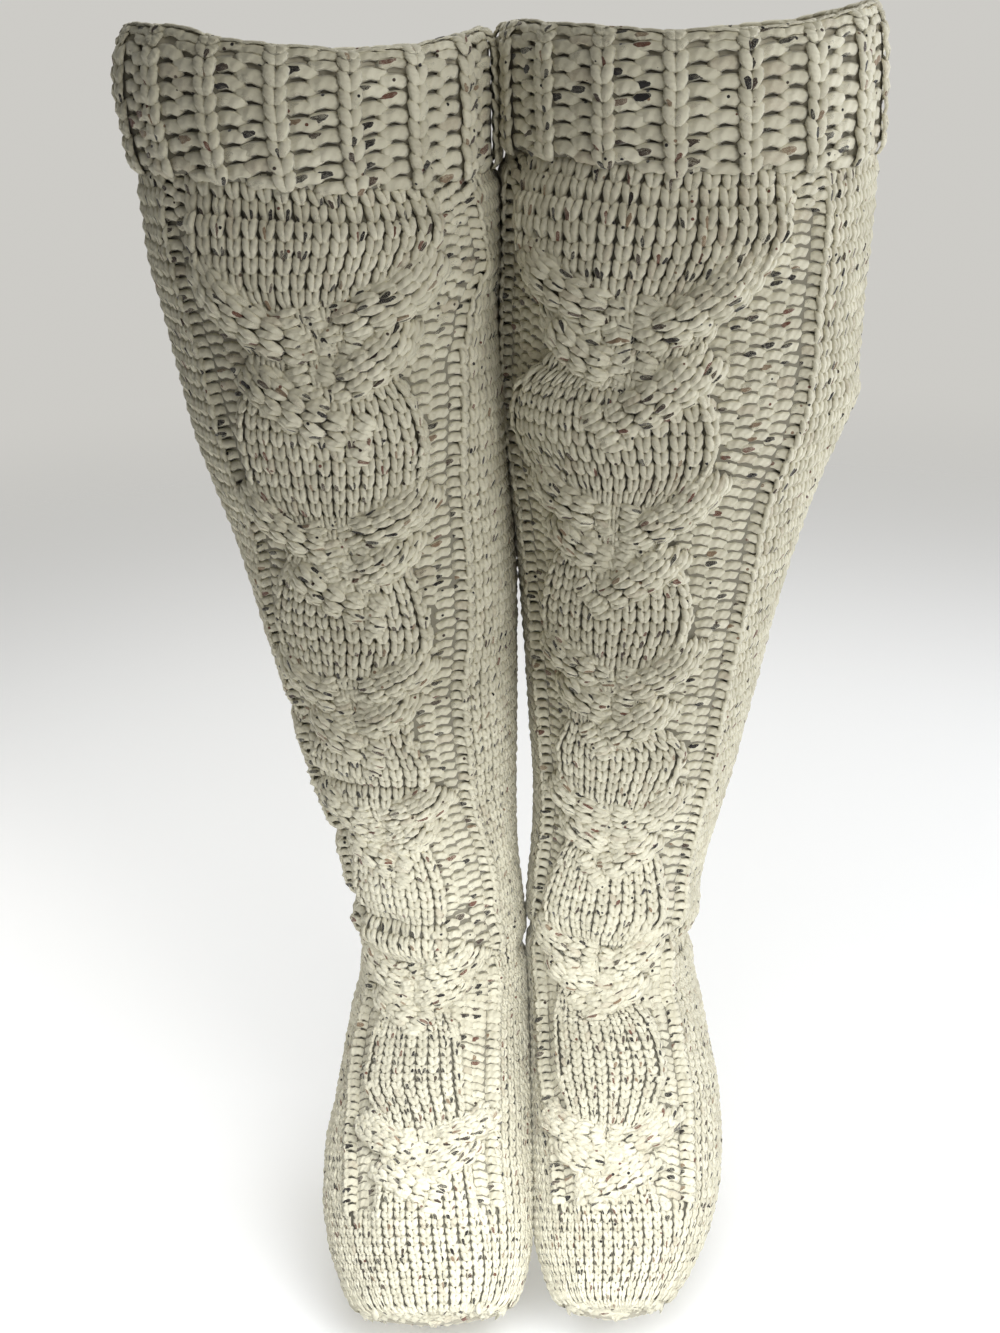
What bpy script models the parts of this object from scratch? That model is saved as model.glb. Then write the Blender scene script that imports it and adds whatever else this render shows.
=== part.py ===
# A pair of hand-knit over-the-knee stockings, filled out as if worn, with empty hollows.
# Metres, +Z up, toes and shins towards -Y. The origin is midway between the two cuff tops.
# The wearer's right stocking has x below 0, and the left one has x above 0.
import math

import bmesh
import bpy

MM = 0.001

# The knitted cloth.
WALL = 4.5 * MM  # thickness of the plain cloth
PURL_DEPTH = 1.8 * MM  # how far the purl strips lie below the plain knit
RIB_RISE = 1.0 * MM  # the single knit rib along each purl strip
CABLE_RISE = 4.8 * MM  # the padded ovals of the cable
STRAND_RISE = 9.5 * MM  # the crossing strands of the cable
FADE = 6.0 * MM  # how fast the cable rises from its edges

# The turned-down cuff.
SEAM = 0.6 * MM  # clearance where two pieces meet
EDGE_SEAM = 2.4 * MM  # clearance above the stocking's top edge, which waves
CUFF_HEM = 60.0 * MM  # lower edge of the turned-down layer, measured down the leg
CUFF_JOIN = 7.0 * MM  # where the stocking's own cloth begins under the fold
CUFF_LEVELS = (18.0 * MM, 32.0 * MM, 46.0 * MM)  # rows that the cuff and the leg inside it share
CUFF_THICK = 3.5 * MM  # thickness of the turned-down layer in its purl grooves
CUFF_RIBS = 17  # repeats of a knit ridge and a purl groove round the cuff
CUFF_RIB_RISE = 2.4 * MM
FIRST_RIDGE = {"right": -5.0, "left": -9.0}  # degrees from the front of the leg

# The mesh.
CABLE_STEPS = 14  # columns across the cable
PURL_STEPS = 2  # columns across each purl strip
BACK_STEPS = 16  # columns round the plain back
INNER_EVERY = 2  # the inside uses every second column
ROW_FINE = 8.0 * MM
ROW_COARSE = 13.0 * MM

# One row for each cross-section, in millimetres and degrees. "down" runs along the stocking from
# the cuff top, "y" and "z" place the middle, "tilt" turns the section about X, and "front" and
# "back" are its depths. Each side then has the middle's "x" and the half width of the section.
SECTION_COLUMNS = (
    "down", "y", "z", "tilt", "front", "back", "right_x", "right_half", "left_x", "left_half"
)
SECTIONS = (
    (0, 0, 0, 0, 80.0, 84.0, -92.0, 85.2, 94.4, 87.7),
    (28, 0, -28, 0, 79.5, 83.5, -93.6, 86.8, 95.2, 88.5),
    (60, 0, -60, 0, 78.3, 83.5, -91.4, 84.6, 95.2, 88.5),
    (71, 0, -71, 0, 78.5, 84.5, -89.6, 88.3, 93.8, 92.4),
    (104, 0, -104, 0, 78.0, 83.5, -88.4, 87.6, 92.3, 91.9),
    (133, 0, -133, 0, 77.0, 82.0, -86.6, 83.8, 89.9, 91.8),
    (162, 0, -162, 0, 77.0, 79.0, -83.9, 81.7, 89.3, 90.8),
    (190, 0, -190, 0, 75.0, 75.5, -81.0, 79.9, 88.0, 88.3),
    (218, 0, -218, 0, 71.0, 73.5, -76.8, 76.7, 83.2, 82.4),
    (247, 0, -247, 0, 66.5, 73.0, -71.7, 72.9, 79.0, 76.2),
    (276, 0, -276, 0, 62.7, 74.0, -68.1, 69.8, 75.9, 70.8),
    (304, 0, -304, 0, 60.0, 74.0, -65.3, 66.6, 73.0, 66.3),
    (332, 0, -332, 0, 57.0, 72.0, -62.5, 63.1, 70.6, 62.6),
    (361, 0, -361, 0, 54.0, 68.5, -60.2, 60.0, 67.6, 58.7),
    (390, 0, -390, 0, 51.0, 63.6, -57.2, 55.9, 64.8, 54.7),
    (418, 0, -418, 0, 48.5, 58.0, -53.7, 51.8, 61.0, 51.0),
    (446, 0, -446, 0, 46.6, 53.2, -49.9, 48.7, 56.0, 48.4),
    (475, 0, -475, 0, 45.6, 49.4, -46.8, 48.0, 51.9, 47.4),
    (496, 0, -496, 0, 44.6, 48.4, -43.7, 46.4, 50.3, 47.0),
    (517, -1, -517, 5, 44.8, 50.5, -44.5, 47.1, 50.4, 46.9),
    (539, -4, -539, 16, 53.4, 60.2, -47.5, 49.9, 52.8, 48.7),
    (565, -20, -560, 23, 55.8, 62.9, -50.0, 52.4, 54.4, 50.5),
    (595, -46, -573, 25, 48.7, 55.0, -52.0, 54.2, 55.4, 51.9),
    (625, -73, -586, 27, 42.1, 47.5, -54.5, 56.5, 54.7, 51.8),
    (654, -99, -600, 29, 36.8, 41.5, -55.1, 56.8, 52.8, 50.3),
    (682, -124, -613, 32, 30.5, 34.4, -54.2, 54.4, 48.7, 46.5),
    (707, -147, -622, 36, 22.7, 25.6, -52.7, 48.9, 45.0, 38.6),
    (725, -164, -629, 44, 14.2, 16.0, -52.4, 41.2, 42.5, 28.8),
    (731, -170, -632, 50, 6.5, 7.5, -52.4, 27.0, 42.5, 17.0),
)
TOE_TIP = {"right": (-52.4, -172.5, -633.5), "left": (42.5, -172.5, -633.5)}

# The lines that bound the pattern, in degrees from the front of the leg. Between the outer two
# lies the front of the stocking: a purl strip, the cable and another purl strip.
LINE_COLUMNS = ("down", "strip_from", "cable_from", "cable_to", "strip_to")
PATTERN_LINES = {
    "right": (
        (0, -53, -43, 44, 60),
        (78, -53, -42, 43, 60),
        (105, -51, -40, 34, 64),
        (125, -50, -30, 24, 54),
        (140, -49, -26, 22, 51),
        (150, -48, -27, 23, 48),
        (168, -48, -35, 29, 47),
        (185, -47, -38, 31, 45),
        (211, -47, -38, 26, 42),
        (229, -48, -33, 17, 41),
        (246, -50, -33, 14, 40),
        (262, -55, -42, 18, 39),
        (290, -62, -51, 21, 38),
        (310, -63, -50, 14, 35),
        (330, -63, -43, 6, 32),
        (345, -63, -43, 6, 32),
        (370, -67, -54, 13, 33),
        (392, -66, -50, 8, 33),
        (408, -64, -42, 6, 36),
        (424, -64, -45, 8, 40),
        (447, -68, -54, 11, 43),
        (475, -66, -52, 6, 41),
        (500, -62, -42, 2, 39),
        (520, -60, -40, 4, 38),
        (545, -58, -44, 14, 37),
        (575, -57, -45, 18, 37),
        (602, -52, -32, 20, 38),
        (625, -48, -24, 22, 38),
        (650, -46, -28, 26, 40),
        (690, -46, -34, 32, 44),
        (731, -46, -36, 36, 46),
    ),
    "left": (
        (0, -76, -64, 28, 41),
        (83, -76, -64, 27, 40),
        (104, -76, -62, 21, 40),
        (122, -75, -52, 10, 40),
        (138, -75, -46, 5, 40),
        (150, -76, -48, 1, 40),
        (168, -79, -64, 6, 39),
        (185, -80, -68, 9, 38),
        (205, -76, -58, 8, 35),
        (225, -70, -47, 0, 34),
        (245, -68, -44, -2, 35),
        (262, -68, -50, 8, 37),
        (287, -68, -56, 13, 38),
        (308, -67, -52, 8, 38),
        (325, -66, -43, 2, 38),
        (345, -65, -42, 5, 38),
        (366, -64, -50, 22, 40),
        (392, -63, -46, 14, 41),
        (409, -62, -38, 8, 41),
        (430, -64, -46, 20, 43),
        (460, -66, -54, 31, 45),
        (482, -64, -44, 18, 44),
        (500, -62, -34, 12, 42),
        (522, -60, -42, 16, 40),
        (545, -60, -47, 23, 38),
        (569, -60, -47, 26, 37),
        (600, -55, -40, 16, 37),
        (625, -50, -34, 6, 36),
        (650, -48, -34, 14, 38),
        (690, -46, -34, 28, 42),
        (731, -46, -36, 34, 46),
    ),
}

# Where the cable's strands cross: distance down, middle in degrees, and size beside the first.
CROSSING_COLUMNS = ("down", "middle", "size")
CROSSINGS = {
    "right": (
        (138, -2, 1.00),
        (243, -9, 0.80),
        (331, -20, 0.68),
        (406, -19, 0.58),
        (508, -20, 0.60),
        (627, -3, 0.62),
    ),
    "left": (
        (138, -19, 1.00),
        (240, -20, 0.80),
        (327, -17, 0.68),
        (410, -13, 0.60),
        (500, -11, 0.62),
        (629, -13, 0.62),
    ),
}

# The four short strands of one crossing, in millimetres round and down from its middle, for the
# wearer's right stocking. The left one has their mirror images. Each goes from its first point to
# its last and is drawn towards the one between them. "half" is half the width.
STRAND_COLUMNS = (
    "round_1", "down_1", "round_bend", "down_bend", "round_2", "down_2", "half", "rise"
)
STRANDS = (
    (62, -42, 44, -20, -8, -10, 10.0, 0.85),
    (-55, -42, -42, -12, 13, 4, 10.0, 0.85),
    (42, -14, 30, 9, -7, 18, 10.0, 1.00),
    (-36, 7, -22, 25, 13, 43, 10.5, 1.00),
)

# Folds of the cloth where it gathers at the ankle and softly elsewhere. Each is a trough from one
# point to another, "depth" below the cloth and "half" wide; a negative depth is a roll.
FOLD_COLUMNS = ("angle_1", "down_1", "angle_2", "down_2", "half", "depth")
FOLDS = {
    "right": (
        (-112, 344, -44, 350, 7.0, 3.4),
        (-70, 376, 2, 380, 5.0, 2.6),
        (-110, 427, -14, 414, 6.0, 3.4),
        (-105, 466, -25, 464, 7.0, 4.2),
        (-30, 470, 22, 462, 5.0, 3.2),
        (-95, 498, -48, 484, 6.0, 3.0),
        (-60, 476, 38, 481, 9.0, -2.8),
        (-45, 492, 45, 494, 6.0, 3.2),
        (70, 498, 118, 508, 7.0, 2.6),
        (128, 480, 178, 470, 7.0, 2.4),
        (150, 518, 215, 512, 8.0, 2.6),
        (110, 205, 165, 190, 11.0, 2.2),
        (195, 200, 240, 214, 11.0, 2.0),
        (100, 452, 150, 446, 6.0, 1.8),
        (210, 466, 262, 474, 7.0, 2.2),
    ),
    "left": (
        (-55, 398, 20, 404, 5.0, 1.8),
        (-30, 420, 30, 424, 5.0, 2.6),
        (-62, 462, -20, 470, 6.0, 2.0),
        (-42, 482, 48, 484, 7.0, 3.6),
        (-50, 466, 45, 467, 10.0, -2.6),
        (55, 496, 110, 500, 7.0, 3.6),
        (60, 480, 105, 478, 8.0, -1.6),
        (-110, 496, -60, 486, 6.0, 2.6),
        (140, 514, 205, 520, 8.0, 2.6),
        (120, 472, 175, 480, 7.0, 2.2),
        (190, 452, 250, 446, 7.0, 2.0),
        (100, 196, 160, 212, 11.0, 2.2),
        (195, 208, 245, 192, 11.0, 2.0),
        (60, 176, 96, 186, 9.0, -2.4),
    ),
}

# How far the cuff's fold stands above or below the origin's level, at degrees round the leg. It
# dips at the back, as a stocking's top does behind the thigh.
RIM_COLUMNS = ("angle", "height")
RIM_HEIGHTS = {
    "right": (
        (-180, -17), (-135, -7), (-90, 6), (-63, 11), (-44, 12), (-17, 6), (0, 3.5), (20, 0),
        (46, 1), (61, 2), (90, 1), (119, -7), (134, -12),
    ),
    "left": (
        (-180, -13), (-143, -7), (-118, -2), (-90, 3), (-62, 7), (-37, 7), (-10, 5), (13, 5),
        (42, 7), (60, 9), (80, 9.5), (105, 4.5), (120, 0), (138, -6),
    ),
}

# How far the cuff's lower edge stands above its level, at degrees round the leg.
HEM_COLUMNS = ("angle", "height")
HEM_HEIGHTS = {
    "right": ((-180, 2), (-90, 1), (-47, 5), (-12, 2), (15, -2), (66, -2), (120, 0)),
    "left": ((-180, 2), (-90, 5), (-59, 7), (-22, 5), (-8, 2), (15, 2), (45, -1), (70, 1)),
}

YARN_COLOUR = {
    "right_stocking": (0.66, 0.61, 0.50, 1.0),
    "left_stocking": (0.67, 0.62, 0.51, 1.0),
    "right_cuff": (0.64, 0.60, 0.49, 1.0),
    "left_cuff": (0.65, 0.60, 0.48, 1.0),
}


def smooth(t):
    """A soft step from 0 to 1."""
    t = min(1.0, max(0.0, t))
    return t * t * (3.0 - 2.0 * t)


def slope(low, high, column):
    return (high[column] - low[column]) / (high[0] - low[0])


def from_table(table, at, column):
    """The table's column at a place between its rows, joined smoothly through the rows."""
    rows = len(table)
    i = 0
    while i < rows - 2 and at > table[i + 1][0]:
        i += 1
    low = table[i]
    high = table[i + 1]
    span = high[0] - low[0]
    t = min(1.0, max(0.0, (at - low[0]) / span))
    here = slope(low, high, column)
    before = slope(table[i - 1], low, column) if i > 0 else here
    after = slope(high, table[i + 2], column) if i < rows - 2 else here
    start = 0.0 if before * here <= 0 else 2.0 * before * here / (before + here)
    end = 0.0 if after * here <= 0 else 2.0 * after * here / (after + here)
    t2 = t * t
    t3 = t2 * t
    value = (2 * t3 - 3 * t2 + 1) * low[column] + (3 * t2 - 2 * t3) * high[column]
    return value + span * ((t3 - 2 * t2 + t) * start + (t3 - t2) * end)


def section(side, down):
    """Sizes of the cross-section a distance down the stocking, in metres and radians."""
    at = down / MM
    x_column = SECTION_COLUMNS.index(side + "_x")
    half_column = SECTION_COLUMNS.index(side + "_half")
    return {
        "x": from_table(SECTIONS, at, x_column) * MM,
        "y": from_table(SECTIONS, at, 1) * MM,
        "z": from_table(SECTIONS, at, 2) * MM,
        "tilt": math.radians(from_table(SECTIONS, at, 3)),
        "front": from_table(SECTIONS, at, 4) * MM,
        "back": from_table(SECTIONS, at, 5) * MM,
        "half": from_table(SECTIONS, at, half_column) * MM,
    }


def round_table(table, degrees):
    """A height from a table of angles, going smoothly round."""
    closed = table + ((180, table[0][1]),)
    return from_table(closed, (degrees + 180.0) % 360.0 - 180.0, 1) * MM


def top_lift(side, degrees, down):
    """How far the wavy rim and hem lift the cloth here, in the cuff and in the leg under it."""
    hem = round_table(HEM_HEIGHTS[side], degrees)
    if down > CUFF_HEM:
        return hem * (1.0 - smooth((down - CUFF_HEM) / (40 * MM)))
    share = down / CUFF_HEM
    return round_table(RIM_HEIGHTS[side], degrees) * (1.0 - share) + hem * share


def place(side, angle, down, out=0.0):
    """The point at an angle round the leg, a distance down it and a distance out of it."""
    cut = section(side, down)
    lift = top_lift(side, math.degrees(angle), down)
    across = math.sin(angle)
    ahead = math.cos(angle)
    depth = (cut["front"] if ahead > 0 else cut["back"]) + out
    x = cut["x"] + (cut["half"] + out) * across
    y = cut["y"] - depth * ahead * math.cos(cut["tilt"])
    z = cut["z"] + depth * ahead * math.sin(cut["tilt"]) + lift
    return (x, y, z)


def lines_at(side, down):
    """The four lines that bound the pattern, in degrees."""
    table = PATTERN_LINES[side]
    return [from_table(table, down / MM, column) for column in (1, 2, 3, 4)]


def round_per_degree(side, down):
    """How many metres of cloth one degree is, near the front of the leg."""
    return math.radians(1.0) * section(side, down)["half"]


def to_segment(x, y, x1, y1, x2, y2):
    """Distance from a point to a straight piece, and how far along that piece it is."""
    dx = x2 - x1
    dy = y2 - y1
    t = ((x - x1) * dx + (y - y1) * dy) / (dx * dx + dy * dy)
    t = min(1.0, max(0.0, t))
    return math.hypot(x - x1 - t * dx, y - y1 - t * dy), t


def to_strand(x, y, bend, hand):
    """Distance from a point to a bent strand, and how far along the strand it is."""
    u1, v1, ub, vb, u2, v2 = bend
    best = (1.0, 0.0)
    steps = 5
    points = []
    for i in range(steps + 1):
        t = i / steps
        a = (1 - t) ** 2
        b = 2 * t * (1 - t)
        c = t * t
        points.append((hand * (a * u1 + b * ub + c * u2), a * v1 + b * vb + c * v2))
    for i in range(steps):
        gap, t = to_segment(x, y, *points[i], *points[i + 1])
        best = min(best, (gap, (i + t) / steps))
    return best


def strand_height(side, degrees, down):
    """How high the cable's crossing strands stand here."""
    best = 0.0
    hand = 1.0 if side == "right" else -1.0
    for cross_down, middle, size in CROSSINGS[side]:
        v = down - cross_down * MM
        if abs(v) > 60 * MM * size:
            continue
        u = (degrees - middle) * round_per_degree(side, down)
        for strand in STRANDS:
            half, rise = strand[6:]
            scale = size * MM
            gap, t = to_strand(u, v, [c * scale for c in strand[:6]], hand)
            reach = half * MM * (0.5 + 0.5 * size) * 1.35
            if gap >= reach:
                continue
            dive = 0.55 + 0.45 * math.sin(math.pi * min(1.0, max(0.0, 0.12 + 0.8 * t)))
            height = STRAND_RISE * rise * dive * smooth(1.6 * (1.0 - gap / reach))
            best = max(best, height * (0.45 + 0.55 * size))
    return best


def fold_height(side, degrees, down):
    """What the soft folds add here."""
    total = 0.0
    metres = round_per_degree(side, down)
    for a1, d1, a2, d2, half, depth in FOLDS[side]:
        middle = (a1 + a2) / 2
        turned = degrees + 360.0 * round((middle - degrees) / 360.0)
        gap, t = to_segment(
            turned * metres, down, a1 * metres, d1 * MM, a2 * metres, d2 * MM
        )
        if gap < 2.2 * half * MM:
            total -= depth * MM * math.exp(-((gap / (half * MM)) ** 2))
    return total


def relief(side, degrees, down):
    """How far the cloth's outer face stands out of the plain form."""
    strip_from, cable_from, cable_to, strip_to = lines_at(side, down)
    metres = round_per_degree(side, down)
    begins = smooth((down - 70 * MM) / (14 * MM))
    ends = 1.0 - smooth((down - 655 * MM) / (30 * MM))
    height = 0.0
    inside = min(degrees - cable_from, cable_to - degrees) * metres
    in_strip = min(degrees - strip_from, strip_to - degrees) * metres
    if inside > 0:
        height = CABLE_RISE * smooth((inside + 1.5 * MM) / FADE)
        height = max(height, strand_height(side, degrees, down))
        size = section(side, down)["half"] / (90 * MM)
        height *= 0.55 + 0.45 * min(1.0, size)
    elif in_strip > 0:
        height = -PURL_DEPTH * smooth(in_strip / (3 * MM))
        height = max(height, strand_height(side, degrees, down))
    elif in_strip > -6 * MM:
        height = RIB_RISE * smooth((in_strip + 6 * MM) / (4 * MM))
    height *= begins * ends
    return height + begins * fold_height(side, degrees, down)


def columns_at(side, down):
    """Degrees round the leg for every column of the mesh, following the pattern's lines."""
    strip_from, cable_from, cable_to, strip_to = lines_at(side, down)
    out = []
    for i in range(PURL_STEPS):
        out.append(strip_from + (cable_from - strip_from) * i / PURL_STEPS)
    for i in range(CABLE_STEPS):
        out.append(cable_from + (cable_to - cable_from) * i / CABLE_STEPS)
    for i in range(PURL_STEPS):
        out.append(cable_to + (strip_to - cable_to) * i / PURL_STEPS)
    back = strip_from + 360.0 - strip_to
    for i in range(BACK_STEPS):
        out.append(strip_to + back * i / BACK_STEPS)
    return out


def rows_down(side):
    """Distances down the stocking for every row of the mesh, closer where strands cross."""
    last = SECTIONS[-1][0] * MM
    rows = [CUFF_JOIN, *CUFF_LEVELS, CUFF_HEM]
    while rows[-1] < last - 3 * MM:
        down = rows[-1]
        near = any(abs(down - c[0] * MM) < 42 * MM * c[2] for c in CROSSINGS[side])
        step = ROW_FINE if near else ROW_COARSE
        if down > 700 * MM:
            step = 6 * MM
        rows.append(min(last, down + step))
    rows[-1] = last
    return rows


def join_rings(mesh, upper, lower):
    """Quads between two rings of the same length. The upper ring comes first."""
    count = len(upper)
    for i in range(count):
        j = (i + 1) % count
        mesh.faces.new((upper[i], lower[i], lower[j], upper[j]))


def join_to_coarse(mesh, fine, coarse, every):
    """Triangles between a ring and one that has only every so many of its columns."""
    count = len(fine)
    for i, vert in enumerate(coarse):
        after = coarse[(i + 1) % len(coarse)]
        for k in range(every):
            a = fine[(i * every + k) % count]
            b = fine[(i * every + k + 1) % count]
            mesh.faces.new((vert, a, b))
        mesh.faces.new((vert, fine[(i * every + every) % count], after))


def yarn(name):
    material = bpy.data.materials.new(name + "_yarn")
    material.use_nodes = True
    shader = material.node_tree.nodes["Principled BSDF"]
    shader.inputs["Base Color"].default_value = YARN_COLOUR[name]
    shader.inputs["Roughness"].default_value = 0.92
    shader.inputs["Metallic"].default_value = 0.0
    return material


def finish(mesh, name, collection):
    """Makes the object from its mesh, with its faces turned outwards."""
    bmesh.ops.recalc_face_normals(mesh, faces=mesh.faces)
    data = bpy.data.meshes.new(name)
    mesh.to_mesh(data)
    mesh.free()
    data.materials.append(yarn(name))
    for face in data.polygons:
        face.use_smooth = True
    thing = bpy.data.objects.new(name, data)
    collection.objects.link(thing)
    return thing


def make_stocking(side, collection):
    """Leg and foot in one tube: a patterned outer face, a plain inner one and an open top."""
    mesh = bmesh.new()
    rings = []
    for down in rows_down(side):
        ring = []
        for degrees in columns_at(side, down):
            out = relief(side, degrees, down)
            ring.append(mesh.verts.new(place(side, math.radians(degrees), down, out)))
        rings.append(ring)
    for upper, lower in zip(rings, rings[1:]):
        join_rings(mesh, upper, lower)
    tip = mesh.verts.new([c * MM for c in TOE_TIP[side]])
    last = rings[-1]
    for i, vert in enumerate(last):
        mesh.faces.new((vert, tip, last[(i + 1) % len(last)]))

    inner_rows = [CUFF_JOIN]
    while inner_rows[-1] < 700 * MM:
        inner_rows.append(min(700 * MM, inner_rows[-1] + 29 * MM))
    inner_rows.append(715 * MM)
    inner = []
    for down in inner_rows:
        degrees = columns_at(side, down)[::INNER_EVERY]
        ring = [
            mesh.verts.new(place(side, math.radians(d), down, -WALL)) for d in degrees
        ]
        inner.append(ring)
    for upper, lower in zip(inner, inner[1:]):
        join_rings(mesh, lower, upper)
    middle = section(side, inner_rows[-1] + 3 * MM)
    end = mesh.verts.new((middle["x"], middle["y"], middle["z"]))
    last = inner[-1]
    for i, vert in enumerate(last):
        mesh.faces.new((vert, last[(i + 1) % len(last)], end))
    join_to_coarse(mesh, rings[0], inner[0], INNER_EVERY)
    return finish(mesh, side + "_stocking", collection)


def make_cuff(side, collection):
    """The turned-down cuff: a ribbed layer outside the leg, with its fold along the top."""
    # Each rib repeat has two columns on the knit ridge and two at the edges of the purl groove.
    phases = ((-0.17, 1.0), (0.17, 1.0), (0.33, 0.0), (0.67, 0.0))
    outer = CUFF_THICK + SEAM
    # Down the leg, out from it, and share of the rib's rise.
    profile = (
        (CUFF_HEM, outer - 1.4 * MM, 0.8),
        (CUFF_HEM - 3 * MM, outer, 1.0),
        (CUFF_LEVELS[2], outer, 1.0),
        (CUFF_LEVELS[1], outer, 1.0),
        (CUFF_LEVELS[0], outer, 1.0),
        (6 * MM, outer - 0.3 * MM, 0.8),
        (1.5 * MM, outer - 2.2 * MM, 0.5),
        (0.0, -0.5 * MM, 0.2),
        (1.5 * MM, -WALL + 0.6 * MM, 0.0),
        (CUFF_JOIN - EDGE_SEAM, -WALL, 0.0),
        (CUFF_JOIN - EDGE_SEAM, SEAM, 0.0),
        (CUFF_LEVELS[0], SEAM, 0.0),
        (CUFF_LEVELS[1], SEAM, 0.0),
        (CUFF_LEVELS[2], SEAM, 0.0),
        (CUFF_HEM, SEAM, 0.0),
    )
    mesh = bmesh.new()
    rings = []
    for down, out, rib in profile:
        ring = []
        for i in range(CUFF_RIBS):
            for phase, high in phases:
                degrees = FIRST_RIDGE[side] + 360.0 * (i + phase) / CUFF_RIBS
                away = out + high * rib * CUFF_RIB_RISE
                ring.append(mesh.verts.new(place(side, math.radians(degrees), down, away)))
        rings.append(ring)
    for upper, lower in zip(rings, rings[1:] + rings[:1]):
        join_rings(mesh, upper, lower)
    return finish(mesh, side + "_cuff", collection)


def clear_scene():
    for thing in list(bpy.data.objects):
        bpy.data.objects.remove(thing, do_unlink=True)


def main():
    clear_scene()
    collection = bpy.data.collections.new("knit_stockings")
    bpy.context.scene.collection.children.link(collection)
    for side in ("right", "left"):
        make_stocking(side, collection)
        make_cuff(side, collection)


main()
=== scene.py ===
# %% [markdown]
# # A pair of hand-knit cable stockings
# This lesson knits two filled-out stockings out of small stitch meshes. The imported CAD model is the
# frame: it gives the places and the sizes. Chunky knitting could be drawn as a bump in a material,
# but its edge would stay smooth and its strands flat. So each stocking gets a soft cloth shell, and
# Geometry Nodes plant knit and purl stitches on it, column by column, with the strands on top.

import math

import bpy
import numpy as np
from mathutils import Matrix, Vector


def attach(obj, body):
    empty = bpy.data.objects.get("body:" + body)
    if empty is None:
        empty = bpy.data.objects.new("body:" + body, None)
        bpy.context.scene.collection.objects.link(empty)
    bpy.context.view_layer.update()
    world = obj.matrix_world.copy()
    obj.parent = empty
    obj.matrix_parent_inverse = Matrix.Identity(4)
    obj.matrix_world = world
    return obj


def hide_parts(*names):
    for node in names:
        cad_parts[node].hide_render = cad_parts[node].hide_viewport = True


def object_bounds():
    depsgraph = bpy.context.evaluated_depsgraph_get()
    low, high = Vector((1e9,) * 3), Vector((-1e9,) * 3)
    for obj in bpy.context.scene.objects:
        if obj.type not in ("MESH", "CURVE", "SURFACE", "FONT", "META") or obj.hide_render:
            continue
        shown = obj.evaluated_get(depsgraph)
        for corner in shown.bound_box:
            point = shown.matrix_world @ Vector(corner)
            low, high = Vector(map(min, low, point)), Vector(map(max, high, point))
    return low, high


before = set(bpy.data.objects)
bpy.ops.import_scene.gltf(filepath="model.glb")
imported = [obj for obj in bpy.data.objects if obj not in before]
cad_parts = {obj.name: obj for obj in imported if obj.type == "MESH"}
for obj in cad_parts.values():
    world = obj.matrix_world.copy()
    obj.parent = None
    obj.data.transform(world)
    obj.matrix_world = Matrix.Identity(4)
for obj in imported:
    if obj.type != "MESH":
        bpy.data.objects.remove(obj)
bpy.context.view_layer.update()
MM = 0.001
SIDES = ("right", "left")

# %% [markdown]
# ## The camera
# The photograph looks down at the shins from a little above the cuffs, rolled slightly, so the
# camera is set first. `back` points from the target to the camera.

# %% Camera
TARGET = Vector((-0.0074, 0.0, -0.3335))
DISTANCE = 1.1875
LOOK_DOWN = math.radians(22.0)
ROLL = math.radians(1.75)
LENS_MM = 59.04


def add_object(name, data):
    """A new object in the scene. data is its mesh, light or camera."""
    thing = bpy.data.objects.new(name, data)
    bpy.context.scene.collection.objects.link(thing)
    return thing


back = Vector((0.0, -math.cos(LOOK_DOWN), math.sin(LOOK_DOWN)))
lens = bpy.data.cameras.new("photo_camera")
lens.lens = LENS_MM
lens.sensor_width = 36.0
camera = add_object("photo_camera", lens)
turn = back.to_track_quat("Z", "Y").to_matrix().to_4x4()
camera.matrix_world = Matrix.Translation(TARGET + back * DISTANCE) @ turn @ Matrix.Rotation(-ROLL, 4, "Z")
bpy.context.scene.camera = camera
print("camera at", [round(v, 3) for v in camera.matrix_world.translation])

# %% [markdown]
# ## The measures
# These tables describe the same form as the CAD model. A section has the place down the stocking,
# its middle, its tilt and its half sizes. The pattern's lines bound the purl strips and the cable.
# The stitches could be laid on the CAD mesh itself, but its faces are too coarse to lean them by, so
# the form is worked out again from the tables wherever a stitch stands.

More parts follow.
